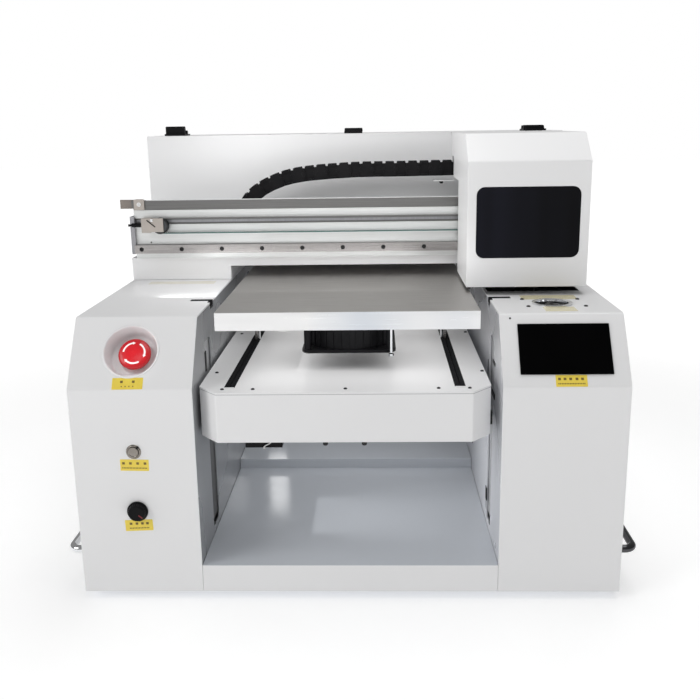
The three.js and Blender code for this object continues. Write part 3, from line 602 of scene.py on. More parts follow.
def lift_channels():
    """What shows in the slots of the inner walls: a plate, two strips of bristle, stops and sensors."""
    seal = (TOWER_HEIGHT - 7, TOWER_HEIGHT - 0.3)
    slot, middle, bristles = (84, 136), 110, (50.5, 202.8)
    # The left bristles are painted dark as shade; the right ones take the lit plate grey.
    for side, name, bristle in ((-1, "left", BRISTLE_PAINTED_SHADE), (1, "right", SLOT_GREY)):
        def behind(near, far):
            return tuple(sorted((side * (GAP_HALF + near), side * (GAP_HALF + far))))
        plate = behind(2.6, 4)
        part(name + "_slot_plate", "machine", SLOT_GREY, (box, plate, slot, (203, 306)), edge=0.3)
        part(name + "_slot_bristles", "machine", bristle, (box, plate, (slot[0], middle - 0.2), bristles),
             (box, plate, (middle + 0.2, slot[1]), bristles), edge=0.3)
        part(name + "_lift_stop", "machine", RUBBER, (box, behind(0.4, 9), (86, 104), (38.5, 50.3)), edge=0.8)
        part(name + "_slot_seal", "machine", HAIR, (box, behind(0.4, 28.6), (153.4, 165.6), seal),
             (box, behind(0.4, 3.6), (142.4, 153.5), seal))
    part("left_wall_clip", "machine", BLACK, (box, (-184.4, -183.2), (89, 97), (262, 288)), edge=0.3)
    clips = [((142.5, 144.5), (235, 262)), ((74, 97), (270, 274.5)), ((72, 111), (227, 234)),
             ((128, 139), (66, 84))]
    part("right_wall_clips", "machine", BLACK, *((box, (183.2, 184.4), y, z) for y, z in clips), edge=0.3)


def tower_top_details():
    """Tapes and screws round the drain cup, the screw on the leaning panel and a faint plain strip."""
    surface = TOWER_HEIGHT
    screws("drain_screws", "machine", BLACK_METAL, "z", surface, 2.6,
           [(225.5, 143), (296.7, 141), (226.3, 96), (297.7, 95.4)])
    part("drain_tapes", "machine", TAPE, *(
        (prism, "z", rounded(*sides, 0.6, 2), surface - 0.1, surface + 0.15)
        for sides in ((226, 298, 143, 171), (243, 282, 66, 93))))
    part("top_strip", "machine", FAINT,
         (prism, "z", rounded(-302, -204, 287, 309, 1, 2), surface - 0.1, surface + 0.1))
    screws("panel_screw", "machine", BLACK_METAL, "z", 0, 1.2, [(197, 88)], height=0.7, place=SLOPE_PANEL)


def drain_cup():
    """A turned cup with a rolled flange and a ribbed well round its outlet."""
    centre, top = centre_of("drain_cup", "z"), machine_box("drain_cup")[1].z
    cup = [(0, -24), (20, -24), (22.8, -20), (22.8, -1.7), (25.3, -1.7), (25.5, -1.2), (25.3, -0.3),
           (24.6, 0), (21.4, 0), (20.6, -0.5), (20.3, -3)]
    cup += [(20.2 - 0.25 * k + (0.25 if k % 2 else 0), -4 - k * 1.6) for k in range(8)]
    cup += [(17, -17.5), (13, -18.6), (6.5, -19.6), (6, -21.5), (0, -21.5)]
    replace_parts(part("drain_cup_turned", "machine", CHROME, (lathe, "z", centre, raised(cup, top), 72),
                     smooth=40), "drain_cup")
    hub = raised([(3.2, -7), (9, -7), (9, -3.4), (7.8, -2.6), (3.2, -2.6)], top)
    part("drain_strainer", "machine", BLACK_METAL,
         (spokes, "z", centre, 5, 0.3, (7, 19), (-2.2, 2.2), (top - 6.5, top - 4)),
         (lathe, "z", centre, hub, 32, True), edge=0.2)


feet()
handles()
lift_channels()
tower_top_details()
drain_cup()


# ---- controls

DISH_CENTRE = (-261.5, 48.7)
BUTTON_CENTRE = (-259.0, 48.7)
# The emergency button's outline as (radius, height): its dome, and the whole head with its stem.
DOME = [(14.4, -5.75), (12.4, -5.5), (10, -5.3), (8.5, -5.2), (4, -5.1), (0, -5.1)]
HEAD = [
    (0, -36), (6.6, -36), (7, -35.5), (7, -14), (16, -13.6), (18.6, -13), (19.7, -12), (20, -10.6),
    (19.9, -9), (19.4, -7.9), (18.3, -6.9), (16.6, -6.2), *DOME,
]


def on_slope(x, y):
    return SLOPE_PANEL @ Matrix.Translation((x, y, 0))


def dome_height(radius):
    """How high the emergency button's dome stands at a radius."""
    for (outer, low), (inner, high) in zip(DOME, DOME[1:]):
        if inner <= radius <= outer:
            return low + (high - low) * (outer - radius) / (outer - inner)
    return DOME[0][1]


def emergency_stop():
    """The mushroom head in its moulded dish, with a collar below it and arrows on its dome."""
    rim = 35
    dish = [
        (11, -22), (rim - 4.2, -22), (rim - 2, -8), (rim - 1.6, -3), (rim - 1.6, 0.2), (rim - 0.2, 0.2),
        (rim, 0.35), (rim - 0.3, 0.7), (rim - 1.2, 0.85), (rim - 2.1, 0.7), (rim - 2.7, 0.1), (rim - 3.0, -1),
        (rim - 3.9, -8), (rim - 5, -15), (rim - 5.9, -18.2), (rim - 7.2, -19.6), (rim - 9, -20), (11, -20),
    ]
    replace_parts(part("estop_dish", "machine", DISH, (lathe, "z", (0, 0), dish, 96, True),
                     place=on_slope(*DISH_CENTRE), smooth=50), "estop_cup")
    place = on_slope(*BUTTON_CENTRE)
    collar = [(8.2, -20.2), (13.5, -20.2), (13.5, -19.6), (12.8, -19.3), (8.2, -19.3)]
    part("estop_collar", "machine", BLACK, (lathe, "z", (0, 0), collar, 48, True), place=place, smooth=40)
    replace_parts(part("estop_head", "stop_button", RED, (lathe, "z", (0, 0), HEAD, 72),
                     place=place, smooth=50), "estop_button")
    part("estop_arrows", "stop_button", SIGN_WHITE,
         *((arc_arrow, start, start - 74, 12.2, 14.2) for start in (172, 62, -58)), place=place, smooth=60)


def arc_arrow(bm, start, end, inner, outer, lift=0.12, steps=12):
    """A curved arrow from one angle to another that lies on the button's dome."""
    def column(radius, angle):
        turn = math.radians(angle)
        x, y, z = radius * math.cos(turn), radius * math.sin(turn), dome_height(radius)
        return bm.verts.new((x, y, z + lift)), bm.verts.new((x, y, z - 0.4))

    angles = [start + (end - start) * k / steps for k in range(steps + 1)]
    edges = [(column(inner, angle), column(outer, angle)) for angle in angles]
    skin(bm, [(near[0], far[0], far[1], near[1]) for near, far in edges])
    middle = (inner + outer) / 2
    step = math.copysign(13, end - start)
    head = [column(middle - 2.0, end - step * 0.1), column(middle + 2.0, end - step * 0.1),
            column(middle, end + step)]
    skin(bm, [[corner[level] for corner in head] for level in (0, 1)])


def power_button():
    """A plated push button whose dished cap slides in a fixed bezel."""
    low, high = machine_box("power_button")
    centre, front = centre_of("power_button", "y"), low.y
    cap = [(0, high.y), (6, high.y), (6.5, high.y - 0.5)]
    cap += raised([(6.5, 0.6), (6.1, 0), (5.2, 0), (4.9, 0.25), (4.6, 0.3), (3.2, 0.55), (0, 0.7)], front)
    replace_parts(part("power_button_cap", "start_button", BUTTON_STEEL, (lathe, "y", centre, cap)),
                "power_button")
    bezel = [(6.8, 0.4), (6.8, -1.0), (7.2, -1.5), (8.0, -1.5), (8.8, -0.9), (9.2, -0.2), (9.2, 0.05),
             (6.9, 0.4)]
    part("power_button_bezel", "machine", BUTTON_STEEL, (lathe, "y", centre, bezel, 48, True))
    part("power_button_notch", "machine", BLACK,
         (turned, "y", centre, math.radians(-48), box, (6.2, 9.3), (-1.9, -0.6), (-1.3, 1.3)), edge=0.2)


def dimmer_knob():
    """A fluted knob with a skirt and a red pointer."""
    centre, front = centre_of("dimmer_knob", "y"), machine_box("dimmer_knob")[0].y
    flutes, per_flute = 24, 6
    # Each level's radius, place along the axis and depth of its flutes.
    levels = [
        (12.5, -0.5, 0), (12.9, -0.9, 0), (12.9, -2.2, 0), (12.4, -2.9, 0), (11.5, -3.3, 0.55),
        (10.6, front + 1.8, 0.55), (10.1, front + 0.7, 0.4), (9.4, front + 0.15, 0.1), (8.4, front, 0),
        (7.2, front + 0.3, 0), (0.01, front + 0.6, 0),
    ]
    fluted = [(loop(flutes * per_flute, lambda turn: size - depth * (0.5 + 0.5 * math.cos(flutes * turn))), y)
              for size, y, depth in levels]
    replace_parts(part("knob_cap", "knob", BLACK, (loft, "y", centre, fluted),
                     (rod, "y", centre, 3, -1, 14, 24), smooth=40), "dimmer_knob")
    part("knob_pointer", "knob", POINTER,
         (turned, "y", centre, math.radians(38), box, (3.4, 9.3), (front, front + 1.0), (-0.8, 0.8)),
         edge=0.15)
    washer = [(3.6, -0.45), (10.5, -0.45), (10.5, 0.1), (3.6, 0.1)]
    part("knob_washer", "machine", TURNED, (lathe, "y", centre, washer, 48, True))


def touch_screen():
    """A glass front edge to edge over a black body."""
    place = on_slope(259.6, 47.5)
    width, height = 109.3, 65

    def sheet(inset, radius, steps, low, high):
        x, y = width / 2 - inset, height / 2 - inset
        return prism, "z", rounded(-x, x, -y, y, radius, steps), low, high

    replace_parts(part("screen_bezel", "machine", BLACK, sheet(0, 0.8, 3, 0.3, 1.6), sheet(3.5, 1, 6, -9, 0.4),
                     place=place, edge=0.25), "touch_screen")
    part("screen_glass", "machine", SCREEN_LOOK, sheet(0.4, 0.6, 3, 1.4, 1.8), place=place, edge=0.1)


def label(name, panel, centre, turn, marks, dashes, width=35.0, height=14.6):
    """A yellow sticker with a row of plain squares over a row of dashes."""
    place = panel @ Matrix.Translation((*centre, 0)) @ Matrix.Rotation(math.radians(turn), 4, "Z")
    outline = rounded(-width / 2, width / 2, -height / 2, height / 2, 0.8, 3)
    part(name, "machine", STICKER, (prism, "z", outline, -0.2, 0.16), place=place)
    reach = max(abs(x) for x in marks) + 2
    squares = [(x, 1.6, (0.8, 3.8)) for x in marks]
    squares += [(-reach + 2 * reach * (k + 0.5) / dashes, 0.6, (-4.4, -2.9)) for k in range(dashes)]
    part(name + "_marks", "machine", PRINT_DARK,
         *((box, (x - half, x + half), y, (0.1, 0.22)) for x, half, y in squares), place=place)


emergency_stop()
power_button()
dimmer_knob()
touch_screen()
label("label_estop", SLOPE_PANEL, (-261.5, 7.3), 0.5, (-7.2, 7.0), 4, 37)
label("label_power", FRONT_PANEL, (-259.2, 169.6), -1.0, (-13.4, -4.9, 3.9, 12.9), 17)
label("label_knob", FRONT_PANEL, (-259.2, 90.6), 2.0, (-10, -2.6, 4.2, 10.5), 13, 34.5)
label("label_screen", SLOPE_PANEL, (264, 7.3), 0.0, (-14, -7.6, -1, 6.4, 12.8), 17, 37)


# ---- beam and drive

refine("x_rail", STEEL, edge=0.3)
refine("encoder_strip", STRIP_AND_PAINTED_SHADE, edge=0.25)
# The end plate is painted grey as shade.
refine("beam_end_plate", END_GREY_PAINTED_SHADE, edge=0.5)
refine("x_motor", BLACK_METAL, edge=0.5)
BEAM = machine_box("beam")
RAIL = machine_box("x_rail")
IDLER_X, IDLER_Z = centre_of("idler_pulley", "y")
MOTOR_X = 300
PULLEY = 10


def beam():
    """The extrusion, with shallow lines along its face, a groove whose floor and lips are painted dark as
    shade, and flanged ends.
    """
    refine("beam", ANODISED, edge=0.5)
    x = (BEAM[0].x + 0.3, BEAM[1].x - 0.3)
    # Each line's near and far face from the beam's front, and its lower and upper height.
    ridges = [(-0.25, 0.5, 399.3, 400.3), (-0.9, 0.5, 397.6, 399.0), (-0.6, 0.5, 376.3, 377.4)]
    lips = [(3.0, 4.3, 433.2, 436.0), (3.0, 4.3, 427.1, 429.6)]
    # The groove's floor and lips are the extrusion's metal painted grey and near black as shade.
    for name, look, lines in (("beam_lines", ANODISED, ridges),
                              ("beam_groove_floor", END_GREY_PAINTED_SHADE, [(3.2, 4.2, 429.6, 433.2)]),
                              ("beam_groove_lips", STRIP_AND_PAINTED_SHADE, lips)):
        part(name, "machine", look, *((box, x, (BEAM[0].y + near, BEAM[0].y + far), (low, high))
                                      for near, far, low, high in lines), edge=0.15)


def strip_holder():
    """The bright upper edge of the strip, the bronze tab at its end and the bracket that clamps it."""
    low, high = machine_box("encoder_strip")
    front = low.y
    part("strip_edge", "machine", ANODISED,
         (box, (BEAM[0].x + 20, high.x - 0.5), (front - 0.25, front + 1.9), (462.0, 462.95)), edge=0.15)
    part("strip_tab", "machine", BRONZE,
         (box, (low.x - 0.1, -326.4), (front - 0.2, front + 1.8), (450.4, 463.7)), edge=0.25)
    part("strip_bracket", "machine", TAB,
         (box, (-322.5, -307), (front - 2.2, front - 0.1), (449.2, 463.9)),
         (box, (-322.5, -307), (front - 2.2, front + 12), (448.35, 449.6)),
         (box, (-320.5, -309), (front - 2.2, front + 5), (463.0, 464.0)), edge=0.4)
    screws("strip_screw", "machine", SIGN_WHITE, "y", front - 2.2, 3.2, [(-314.8, 456.6)], -1)


def tensioner():
    """The clamp block, its end beside the end plate painted black as the shadow of the end plate's flange, and
    the bolt that pulls the idler along.
    """
    fork_end = -310.7
    made = refine("belt_tensioner", TAB, edge=0.5)
    # Faces left of fork_end are painted black: the shadow of the end plate's flange.
    made.data.materials.append(BLACK)
    for face in made.data.polygons:
        face.material_index = int(face.center.x < fork_end * MM)
    bolt = raised([(0, 0), (1.6, 0), (2, 0.4), (2, 1.8), (1.2, 1.8)], machine_box("belt_tensioner")[0].x)
    bolt += [(1.2, -326), (2.8, -326), (2.8, -310.6), (0, -310.6)]
    part("tension_bolt", "machine", BLACK, (lathe, "x", (311, IDLER_Z + 1), bolt, 24), edge=0.2)
    part("tension_slit", "machine", BLACK,
         (turned, "y", (-296, 429.5), math.radians(40), box, (-8, 8), (303.2, 304.4), (-0.7, 0.7)))
    screws("tension_screw", "machine", CHROME, "y", 304, 2.3, [(-294.8, 434)], -1)


def toothed_pulley(name, node, body, x, teeth=20):
    """A pulley with teeth between two flanges, and the motor's shaft behind its own."""
    centre = (x, IDLER_Z)
    outline = loop(teeth * 6, lambda turn: 9.5 + 0.5 * max(-1, min(1, 2.2 * math.cos(teeth * turn))))
    shapes = [(loft, "y", centre, [(outline, 307.8), (outline, 315.6)])]
    shapes += [(rod, "y", centre, 11.8, y, y + 1.0, 64, 0.2) for y in (307.0, 315.4)]
    boss = [(2.7, 306.2), (5.5, 306.2), (6, 306.6), (6, 307.2), (2.7, 307.2)]
    shapes.append((lathe, "y", centre, boss, 40, True))
    shapes += [(rod, "y", (x + a, IDLER_Z + b), 0.7, 305.9, 306.6, 12, 0.1)
               for a, b in loop(3, lambda turn: 4.3)]
    if node == "x_motor_pulley":
        shapes.append((rod, "y", centre, 2.5, 305.8, 393.5, 24))
    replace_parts(part(name, body, WHEEL, *shapes, smooth=30), node)
    rim = [(10.0, 306.8), (11.9, 306.8), (11.9, 308.0), (10.0, 307.4)]
    part(name + "_rim", body, BLACK_METAL, (lathe, "y", centre, rim, 64, True), smooth=40)


def belt():
    """A toothed belt: grey back outwards, teal teeth inwards, its front edge teal on the lower run and painted
    grey as shade on the upper run.
    """
    outer, root, tip = PULLEY + 1.6, PULLEY + 0.9, PULLEY + 0.35
    near, far = 308.6, 314.8
    run = MOTOR_X - IDLER_X
    arc = math.pi * PULLEY
    length = 2 * (run + arc)
    steps = int(length / 3) * 4

    def at(distance, radius):
        """A point of the loop: along the top, round the motor, back below and round the idler."""
        for side, end in ((1, MOTOR_X), (-1, IDLER_X)):
            if distance < run:
                return end - side * (run - distance), IDLER_Z + side * radius
            distance -= run
            if distance < arc or side < 0:
                turn = side * math.pi / 2 - distance / PULLEY
                return end + radius * math.cos(turn), IDLER_Z + radius * math.sin(turn)
            distance -= arc

    bm = bmesh.new()
    columns = []
    for k in range(steps):
        distance = length * k / steps
        (ax, az), (bx, bz) = at(distance, outer), at(distance, tip if k % 4 in (0, 1) else root)
        columns.append([bm.verts.new(v) for v in (
            (ax, near, az), (ax, far, az), (bx, far, bz), (bx, near, bz))])
    skin(bm, columns, closed=True)
    # The front edge takes the teal only below; on the upper run it is painted with the grey back as shade.
    for k, face in enumerate(bm.faces):
        below = columns[k // 4][0].co.z < IDLER_Z
        toothed = k % 4 == 2 or (k % 4 == 3 and below)
        face.material_index = 0 if toothed else 1
    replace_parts(piece("toothed_belt", bm, "machine", [BELT, STRIP_AND_PAINTED_SHADE], smooth=20), "x_belt")


def beam_fixings():
    """The end plate's flange, painted grey as shade, and the screws of the plate and of the rail."""
    end = -329.3
    part("end_plate_flange", "machine", END_GREY_PAINTED_SHADE, (box, (end, -322.6), (312.6, 314), (384, 439.2)), edge=0.3)
    screws("end_plate_screws", "machine", BLACK_METAL, "x", end, 3.0,
           [(324, 390), (384, 390), (324, 411), (384, 432)], -1)
    screws("rail_end_pin", "machine", BLACK_METAL, "y", 317.0, 1.1, [(-300.5, 400.3)], -1)
    first, pitch = -313.7, 60
    bolt = raised([(0, 4.4), (3.2, 4.4), (3.2, 1.6), (2.8, 1.2), (1.6, 1.2), (1.5, 2.8), (0, 2.8)], RAIL[0].y)
    count = math.ceil((RAIL[1].x - first) / pitch)
    middle = (RAIL[0].z + RAIL[1].z) / 2
    part("rail_screws", "machine", BLACK_METAL,
         *((lathe, "y", (first + pitch * k, middle), bolt, 20) for k in range(count)), smooth=40)


beam()
strip_holder()
tensioner()
toothed_pulley("idler_wheel", "idler_pulley", "idler", IDLER_X)
toothed_pulley("motor_wheel", "x_motor_pulley", "drive", MOTOR_X)
belt()
beam_fixings()


# ---- cable chain

CHAIN_FRONT, CHAIN_BACK = (corner.y for corner in machine_box("chain_loop"))
CHAIN_LINE = [
    (155.6, 500), (74, 499.2), (-4, 498.4), (-84, 492), (-130, 478), (-160, 457),
    (-171, 431), (-158, 404), (-130, 393), (-100, 392),
]
CHAIN_LOW = CHAIN_LINE[-1][1]
LINK = 17.5


def chain_points(count=400):
    """The chain's middle line as close points: a curve through the points of CHAIN_LINE."""
    last = len(CHAIN_LINE) - 1
    points = []
    for k in range(count + 1):
        at = last * k / count
        i = min(int(at), last - 1)
        t = at - i
        p0, p1, p2, p3 = (Vector(CHAIN_LINE[max(0, min(last, j))]) for j in (i - 1, i, i + 1, i + 2))
        v0, v1 = (p2 - p0) / 2, (p3 - p1) / 2
        points.append((2 * p1 - 2 * p2 + v0 + v1) * t ** 3 + (-3 * p1 + 3 * p2 - 2 * v0 - v1) * t ** 2
                      + v0 * t + p1)
    return points


def along(points, distance):
    """The point and the direction at a distance along a line of points."""
    for a, b in zip(points, points[1:]):
        step = (b - a).length
        if distance <= step:
            return a + (b - a) * (distance / step), (b - a).normalized()
        distance -= step
    return points[-1], (points[-1] - points[-2]).normalized()


def chain_link(bm, outer, height, y0, y1):
    """Two side plates, notched at the corners outside the bend, joined by two bars."""
    half = height / 2
    plate, gap = 2.2, 0.2
    inset = 0 if outer else plate + gap
    reach = LINK / 2 + 1.2
    ends = [(-reach, half), (-reach, 3.6 - half), (3.2 - reach, 3.0 - half), (3.6 - reach, -half),
            (reach - 3.6, -half), (reach - 3.2, 3.0 - half), (reach, 3.6 - half), (reach, half)]
    verts = prism(bm, "y", ends, y0 + inset, y0 + inset + plate)
    verts += prism(bm, "y", ends, y1 - inset - plate, y1 - inset)
    for z in ((half - 3.2, half - 1.0), (0.7 - half, 4.2 - half)):
        verts += box(bm, (-4.9, 4.9), (y0 + 0.05, y1 - 0.05), z)
    if outer:
        for x in (-LINK / 2, LINK / 2):
            for a, b in ((y0 - 0.5, y0 + 1), (y1 - 1, y1 + 0.5)):
                verts += rod(bm, "y", (x, 0), half * 0.3, a, b, 16, 0.2)
    return verts


def chain():
    """The links of the loop, the run inside the hood's reach and the run that lies on the beam."""
    points = chain_points()
    length = sum((b - a).length for a, b in zip(points, points[1:]))
    count = round(length / LINK)
    links = []
    for k in range(count):
        centre, direction = along(points, length * (k + 0.5) / count)
        links.append((turned, "y", centre, -math.atan2(direction.y, direction.x),
                      chain_link, k % 2 == 1, 23, CHAIN_FRONT + 0.5, CHAIN_BACK - 0.5))
    finish = {"segments": 1, "edge": 0.25}
    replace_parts(part("chain_links", "chain", CHAIN_LOOK, *links, **finish), "chain_loop")

    def run(x0, x1, inset, half):
        return box, (x0, x1), (CHAIN_FRONT + inset, CHAIN_BACK - inset), (CHAIN_LOW - half, CHAIN_LOW + half)

    part("chain_inner_run", "chain", CHAIN_LOOK, run(-98, 58, 3.2, 9.6),
         *(run(LINK * k - 96, LINK * k - 87, 2.8, 10.2) for k in range(9)), edge=0.3, segments=1)
    low, high = machine_box("chain_lower")
    sides = [(low.y + 0.4, low.y + 2.4), (high.y - 2.4, high.y - 0.4)]
    bars = [(low.z + 0.2, low.z + 2.6), (high.z - 2.6, high.z - 0.2)]
    lower = []
    for k in range(9):
        x = low.x + 0.5 + 17.6 * k
        lower += [(prism, "y", rounded(x, x + 16.8, low.z + 2, high.z - 2, 6, 4), *side) for side in sides]
        lower += [(box, (x + s, x + s + 5), (low.y + 0.4, high.y - 0.4), z) for s in (2, 10.6) for z in bars]
    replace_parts(part("chain_lower_links", "machine", CHAIN_LOOK, *lower, **finish), "chain_lower")


chain()


# ---- rear housing and lid

refine("rear_housing", WHITE, edge=0.6)
refine("rear_lid", WHITE)
refine("control_box", BLACK_METAL, edge=0.8)
HOUSING_TOP = machine_box("rear_housing")[1].z
HINGE_Y, HINGE_Z = 495, HOUSING_TOP + 4.5


def hinges():
    """Moulded hinge blocks on the fixed strip, with knuckles, screws and leaves on the lid."""
    axis, leaf_top = (HINGE_Y, HINGE_Z), HOUSING_TOP + 2.8
    for node in ("left_lid_hinge", "centre_lid_hinge", "right_lid_hinge"):
        low, high = machine_box(node)
        x0, x1, top = low.x, high.x, high.z
        third = (x1 - x0) / 3
        lean = 3 if top < HOUSING_TOP + 12 else 1.2
        block = [(x0 + 1, HOUSING_TOP + 0.3), (x1 - 1, HOUSING_TOP + 0.3), (x1 - 1 - lean, top - 0.8),
                 (x1 - 2.2 - lean, top), (x0 + 2.2, top), (x0 + 1, top - 0.8)]
        shapes = [(box, (x0, x1), (HINGE_Y - 23, HINGE_Y - 5), (HOUSING_TOP + 0.3, HOUSING_TOP + 3.3)),
                  (prism, "y", block, HINGE_Y - 18, HINGE_Y - 5)]
        for a, b in ((x0, x0 + third - 0.3), (x1 - third + 0.3, x1)):
            shapes += [(rod, "x", axis, 4, a, b, 28),
                       (box, (a, b), (HINGE_Y - 6, HINGE_Y), (HOUSING_TOP + 0.4, HINGE_Z + 0.5))]
        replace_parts(part(node + "_block", "machine", BLACK, *shapes, edge=0.5), node)
        part(node + "_leaf", "lid", BLACK, (rod, "x", axis, 3.9, x0 + third, x1 - third, 28),
             (box, (x0 + third, x1 - third), (HINGE_Y, HINGE_Y + 6), (HOUSING_TOP + 0.6, HINGE_Z + 0.3)),
             (box, (x0 + 0.5, x1 - 0.5), (HINGE_Y + 5, HINGE_Y + 22), (HOUSING_TOP + 0.05, leaf_top)),
             edge=0.4)
        screws(node + "_leaf_screws", "lid", TURNED, "z", leaf_top, 2.4,
               [(x, HINGE_Y + 14) for x in (x0 + 6, x1 - 6)])
        part(node + "_pin", "machine", TURNED, (rod, "x", axis, 1.6, x0 - 0.6, x1 + 0.6, 20))


def lid_fittings():
    """Stiffeners under the lid's sheet."""
    high = machine_box("rear_lid")[1]
    y, z = (HINGE_Y + 20, high.y - 12), (high.z - 3.4, high.z - 2.1)
    part("lid_stiffeners", "lid", WHITE, *((box, (x - 14, x + 14), y, z) for x in (-220, 0, 220)), edge=0.3)


def corners_of(centre, reach):
    return [(centre[0] + a * reach, centre[1] + b * reach) for a in (-1, 1) for b in (-1, 1)]


def square(half, corner):
    """How far out a square with cut corners reaches at a turn."""
    return lambda turn: min(half / max(abs(math.cos(turn)), abs(math.sin(turn))), corner)


def blades(bm, axis, centre, inner, outer, rows, half_turn, lean, offset, rise, fall, thick):
    """Thin twisted blades: their edges spread by half_turn, lean on and flatten outwards."""
    count = 7
    for blade in range(count):
        spin = math.tau * blade / count
        layers = []
        for layer in (0, thick):
            points = []
            for i in range(rows):
                out = i / (rows - 1)
                radius = inner + (outer - inner) * out
                for sign in (-1, 1):
                    turn = spin + sign * (half_turn[0] + half_turn[1] * out) + lean * out
                    height = offset + sign * (rise - fall * out) + layer
                    points.append(bm.verts.new(AXES[axis](
                        centre[0] + radius * math.cos(turn), centre[1] + radius * math.sin(turn), height)))
            layers.append(points)
        under, over = layers
        skin(bm, [(over[2 * i], over[2 * i + 1], under[2 * i + 1], under[2 * i]) for i in range(rows)])


def exhaust_fan():
    """A framed guard fan: square frame, rings, spokes and blades."""
    low, high = machine_box("exhaust_fan")
    centre, steps = centre_of("exhaust_fan", "y"), 64
    front, back, half = low.y, high.y, (high.x - low.x) / 2
    outline, opening = loop(steps, square(half, 50)), loop(steps, lambda turn: 36.5)
    chamfered = [(x * 0.985, z * 0.985) for x, z in outline]
    sections = [(outline, front), (outline, back - 0.8), (chamfered, back), (opening, back), (opening, front)]
    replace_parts(part("exhaust_frame", "machine", BLACK, (loft, "y", centre, sections, True), smooth=30),
                "exhaust_fan")
    part("exhaust_blades", "machine", BLACK, (rod, "y", centre, 14, front + 2, back - 3, 40),
         (blades, "y", centre, 13, 34.5, 5, (0.33, 0), 0, (front + back) / 2 - 1, 3.4, 0, 1.0), smooth=40)
    y0, y1 = back - 2.4, back - 1.0
    rings = [(lathe, "y", centre, [(r - 0.8, y0), (r + 0.8, y0), (r + 0.8, y1), (r - 0.8, y1)], 64, True)
             for r in (12, 20, 28, 35.5)]
    part("exhaust_guard", "machine", CHROME, *rings,
         (spokes, "y", centre, 4, 0.5, (11, 37), (y0 + 0.1, y1 - 0.1), (-0.9, 0.9)), edge=0.2)
    screws("exhaust_screws", "machine", TURNED, "y", back - 0.9, 2.8, corners_of(centre, 35.7))


def power_inlet():
    """The socket for the mains lead, with its pins and screws."""
    refine("power_inlet", BLACK, edge=0.5)
    (x, z), back = centre_of("power_inlet", "y"), machine_box("power_inlet")[1].y
    pins = [(x - 7, z - 2), (x + 7, z - 2), (x, z + 3)]
    part("inlet_pins", "machine", TURNED, *(
        (box, (a - 1.1, a + 1.1), (back - 17.5, back - 3), (b - 2.2, b + 2.2)) for a, b in pins), edge=0.3)
    screws("inlet_screws", "machine", TURNED, "y", back, 2.0, [(x - 20, z), (x + 20, z)])


def back_fixings():
    """Screws round the back panel and a field of pressed louvres."""
    back = machine_box("back_panel")[1].y
    centres = [(x, z) for x in (-325, -110, 110, 325) for z in (14, 190, 330, 530)]
    screws("back_screws", "machine", TURNED, "y", back, 3.0, centres)
    louvres = []
    for x in (-60, 60):
        for z in range(395, 494, 14):
            lip = [(back - 0.2, z), (back + 4.2, z + 0.8), (back + 4.2, z + 1.8), (back - 0.2, z + 8)]
            louvres.append((prism, "x", lip, x - 42, x + 42))
    part("back_louvres", "machine", WHITE, *louvres, edge=0.4)


def ink_tanks():
    """Tanks with knurled caps in their ink's colours."""
    refine("tank_shelf", WHITE, edge=0.3)
    refine("ink_tanks", TANK, edge=1.2)
    colours = [("black", (0.02, 0.02, 0.02)), ("cyan", (0.01, 0.3, 0.62)), ("magenta", (0.6, 0.02, 0.25)),
               ("yellow", (0.85, 0.68, 0.03)), ("white", (0.8, 0.8, 0.8)), ("clear", (0.5, 0.52, 0.55))]
    # Each level's radius, height and depth of its ribs.
    levels = ((10.2, 473, 0), (12, 473, 0.4), (12, 485, 0.4), (11, 486.5, 0), (0.01, 486.6, 0))
    ribs = 36
    knurled = [(loop(2 * ribs, lambda turn: radius + rib * (0.5 - 0.5 * math.cos(ribs * turn))), z)
               for radius, z, rib in levels]
    for k, (name, colour) in enumerate(colours):
        look = moulded("cap_" + name, colour, tuple(c * 0.85 for c in colour), 0.4)
        part("tank_cap_" + name, "machine", look, (loft, "z", (50 * k - 129, 620), knurled), smooth=30)


hinges()
lid_fittings()
exhaust_fan()
power_inlet()
back_fixings()
ink_tanks()


# ---- lifting table

refine("table_tray", WHITE, edge=0.5, bend=1.5)
refine("lift_frame", BLACK_METAL)
refine("left_y_rail", STEEL)
refine("right_y_rail", STEEL)
TRAY = machine_box("table_tray")
TABLE_X = centre_of("table_tray", "z")[0]
SLOT_OFFSET = 139
SLOTS = (("left", TABLE_X - SLOT_OFFSET), ("right", TABLE_X + SLOT_OFFSET))


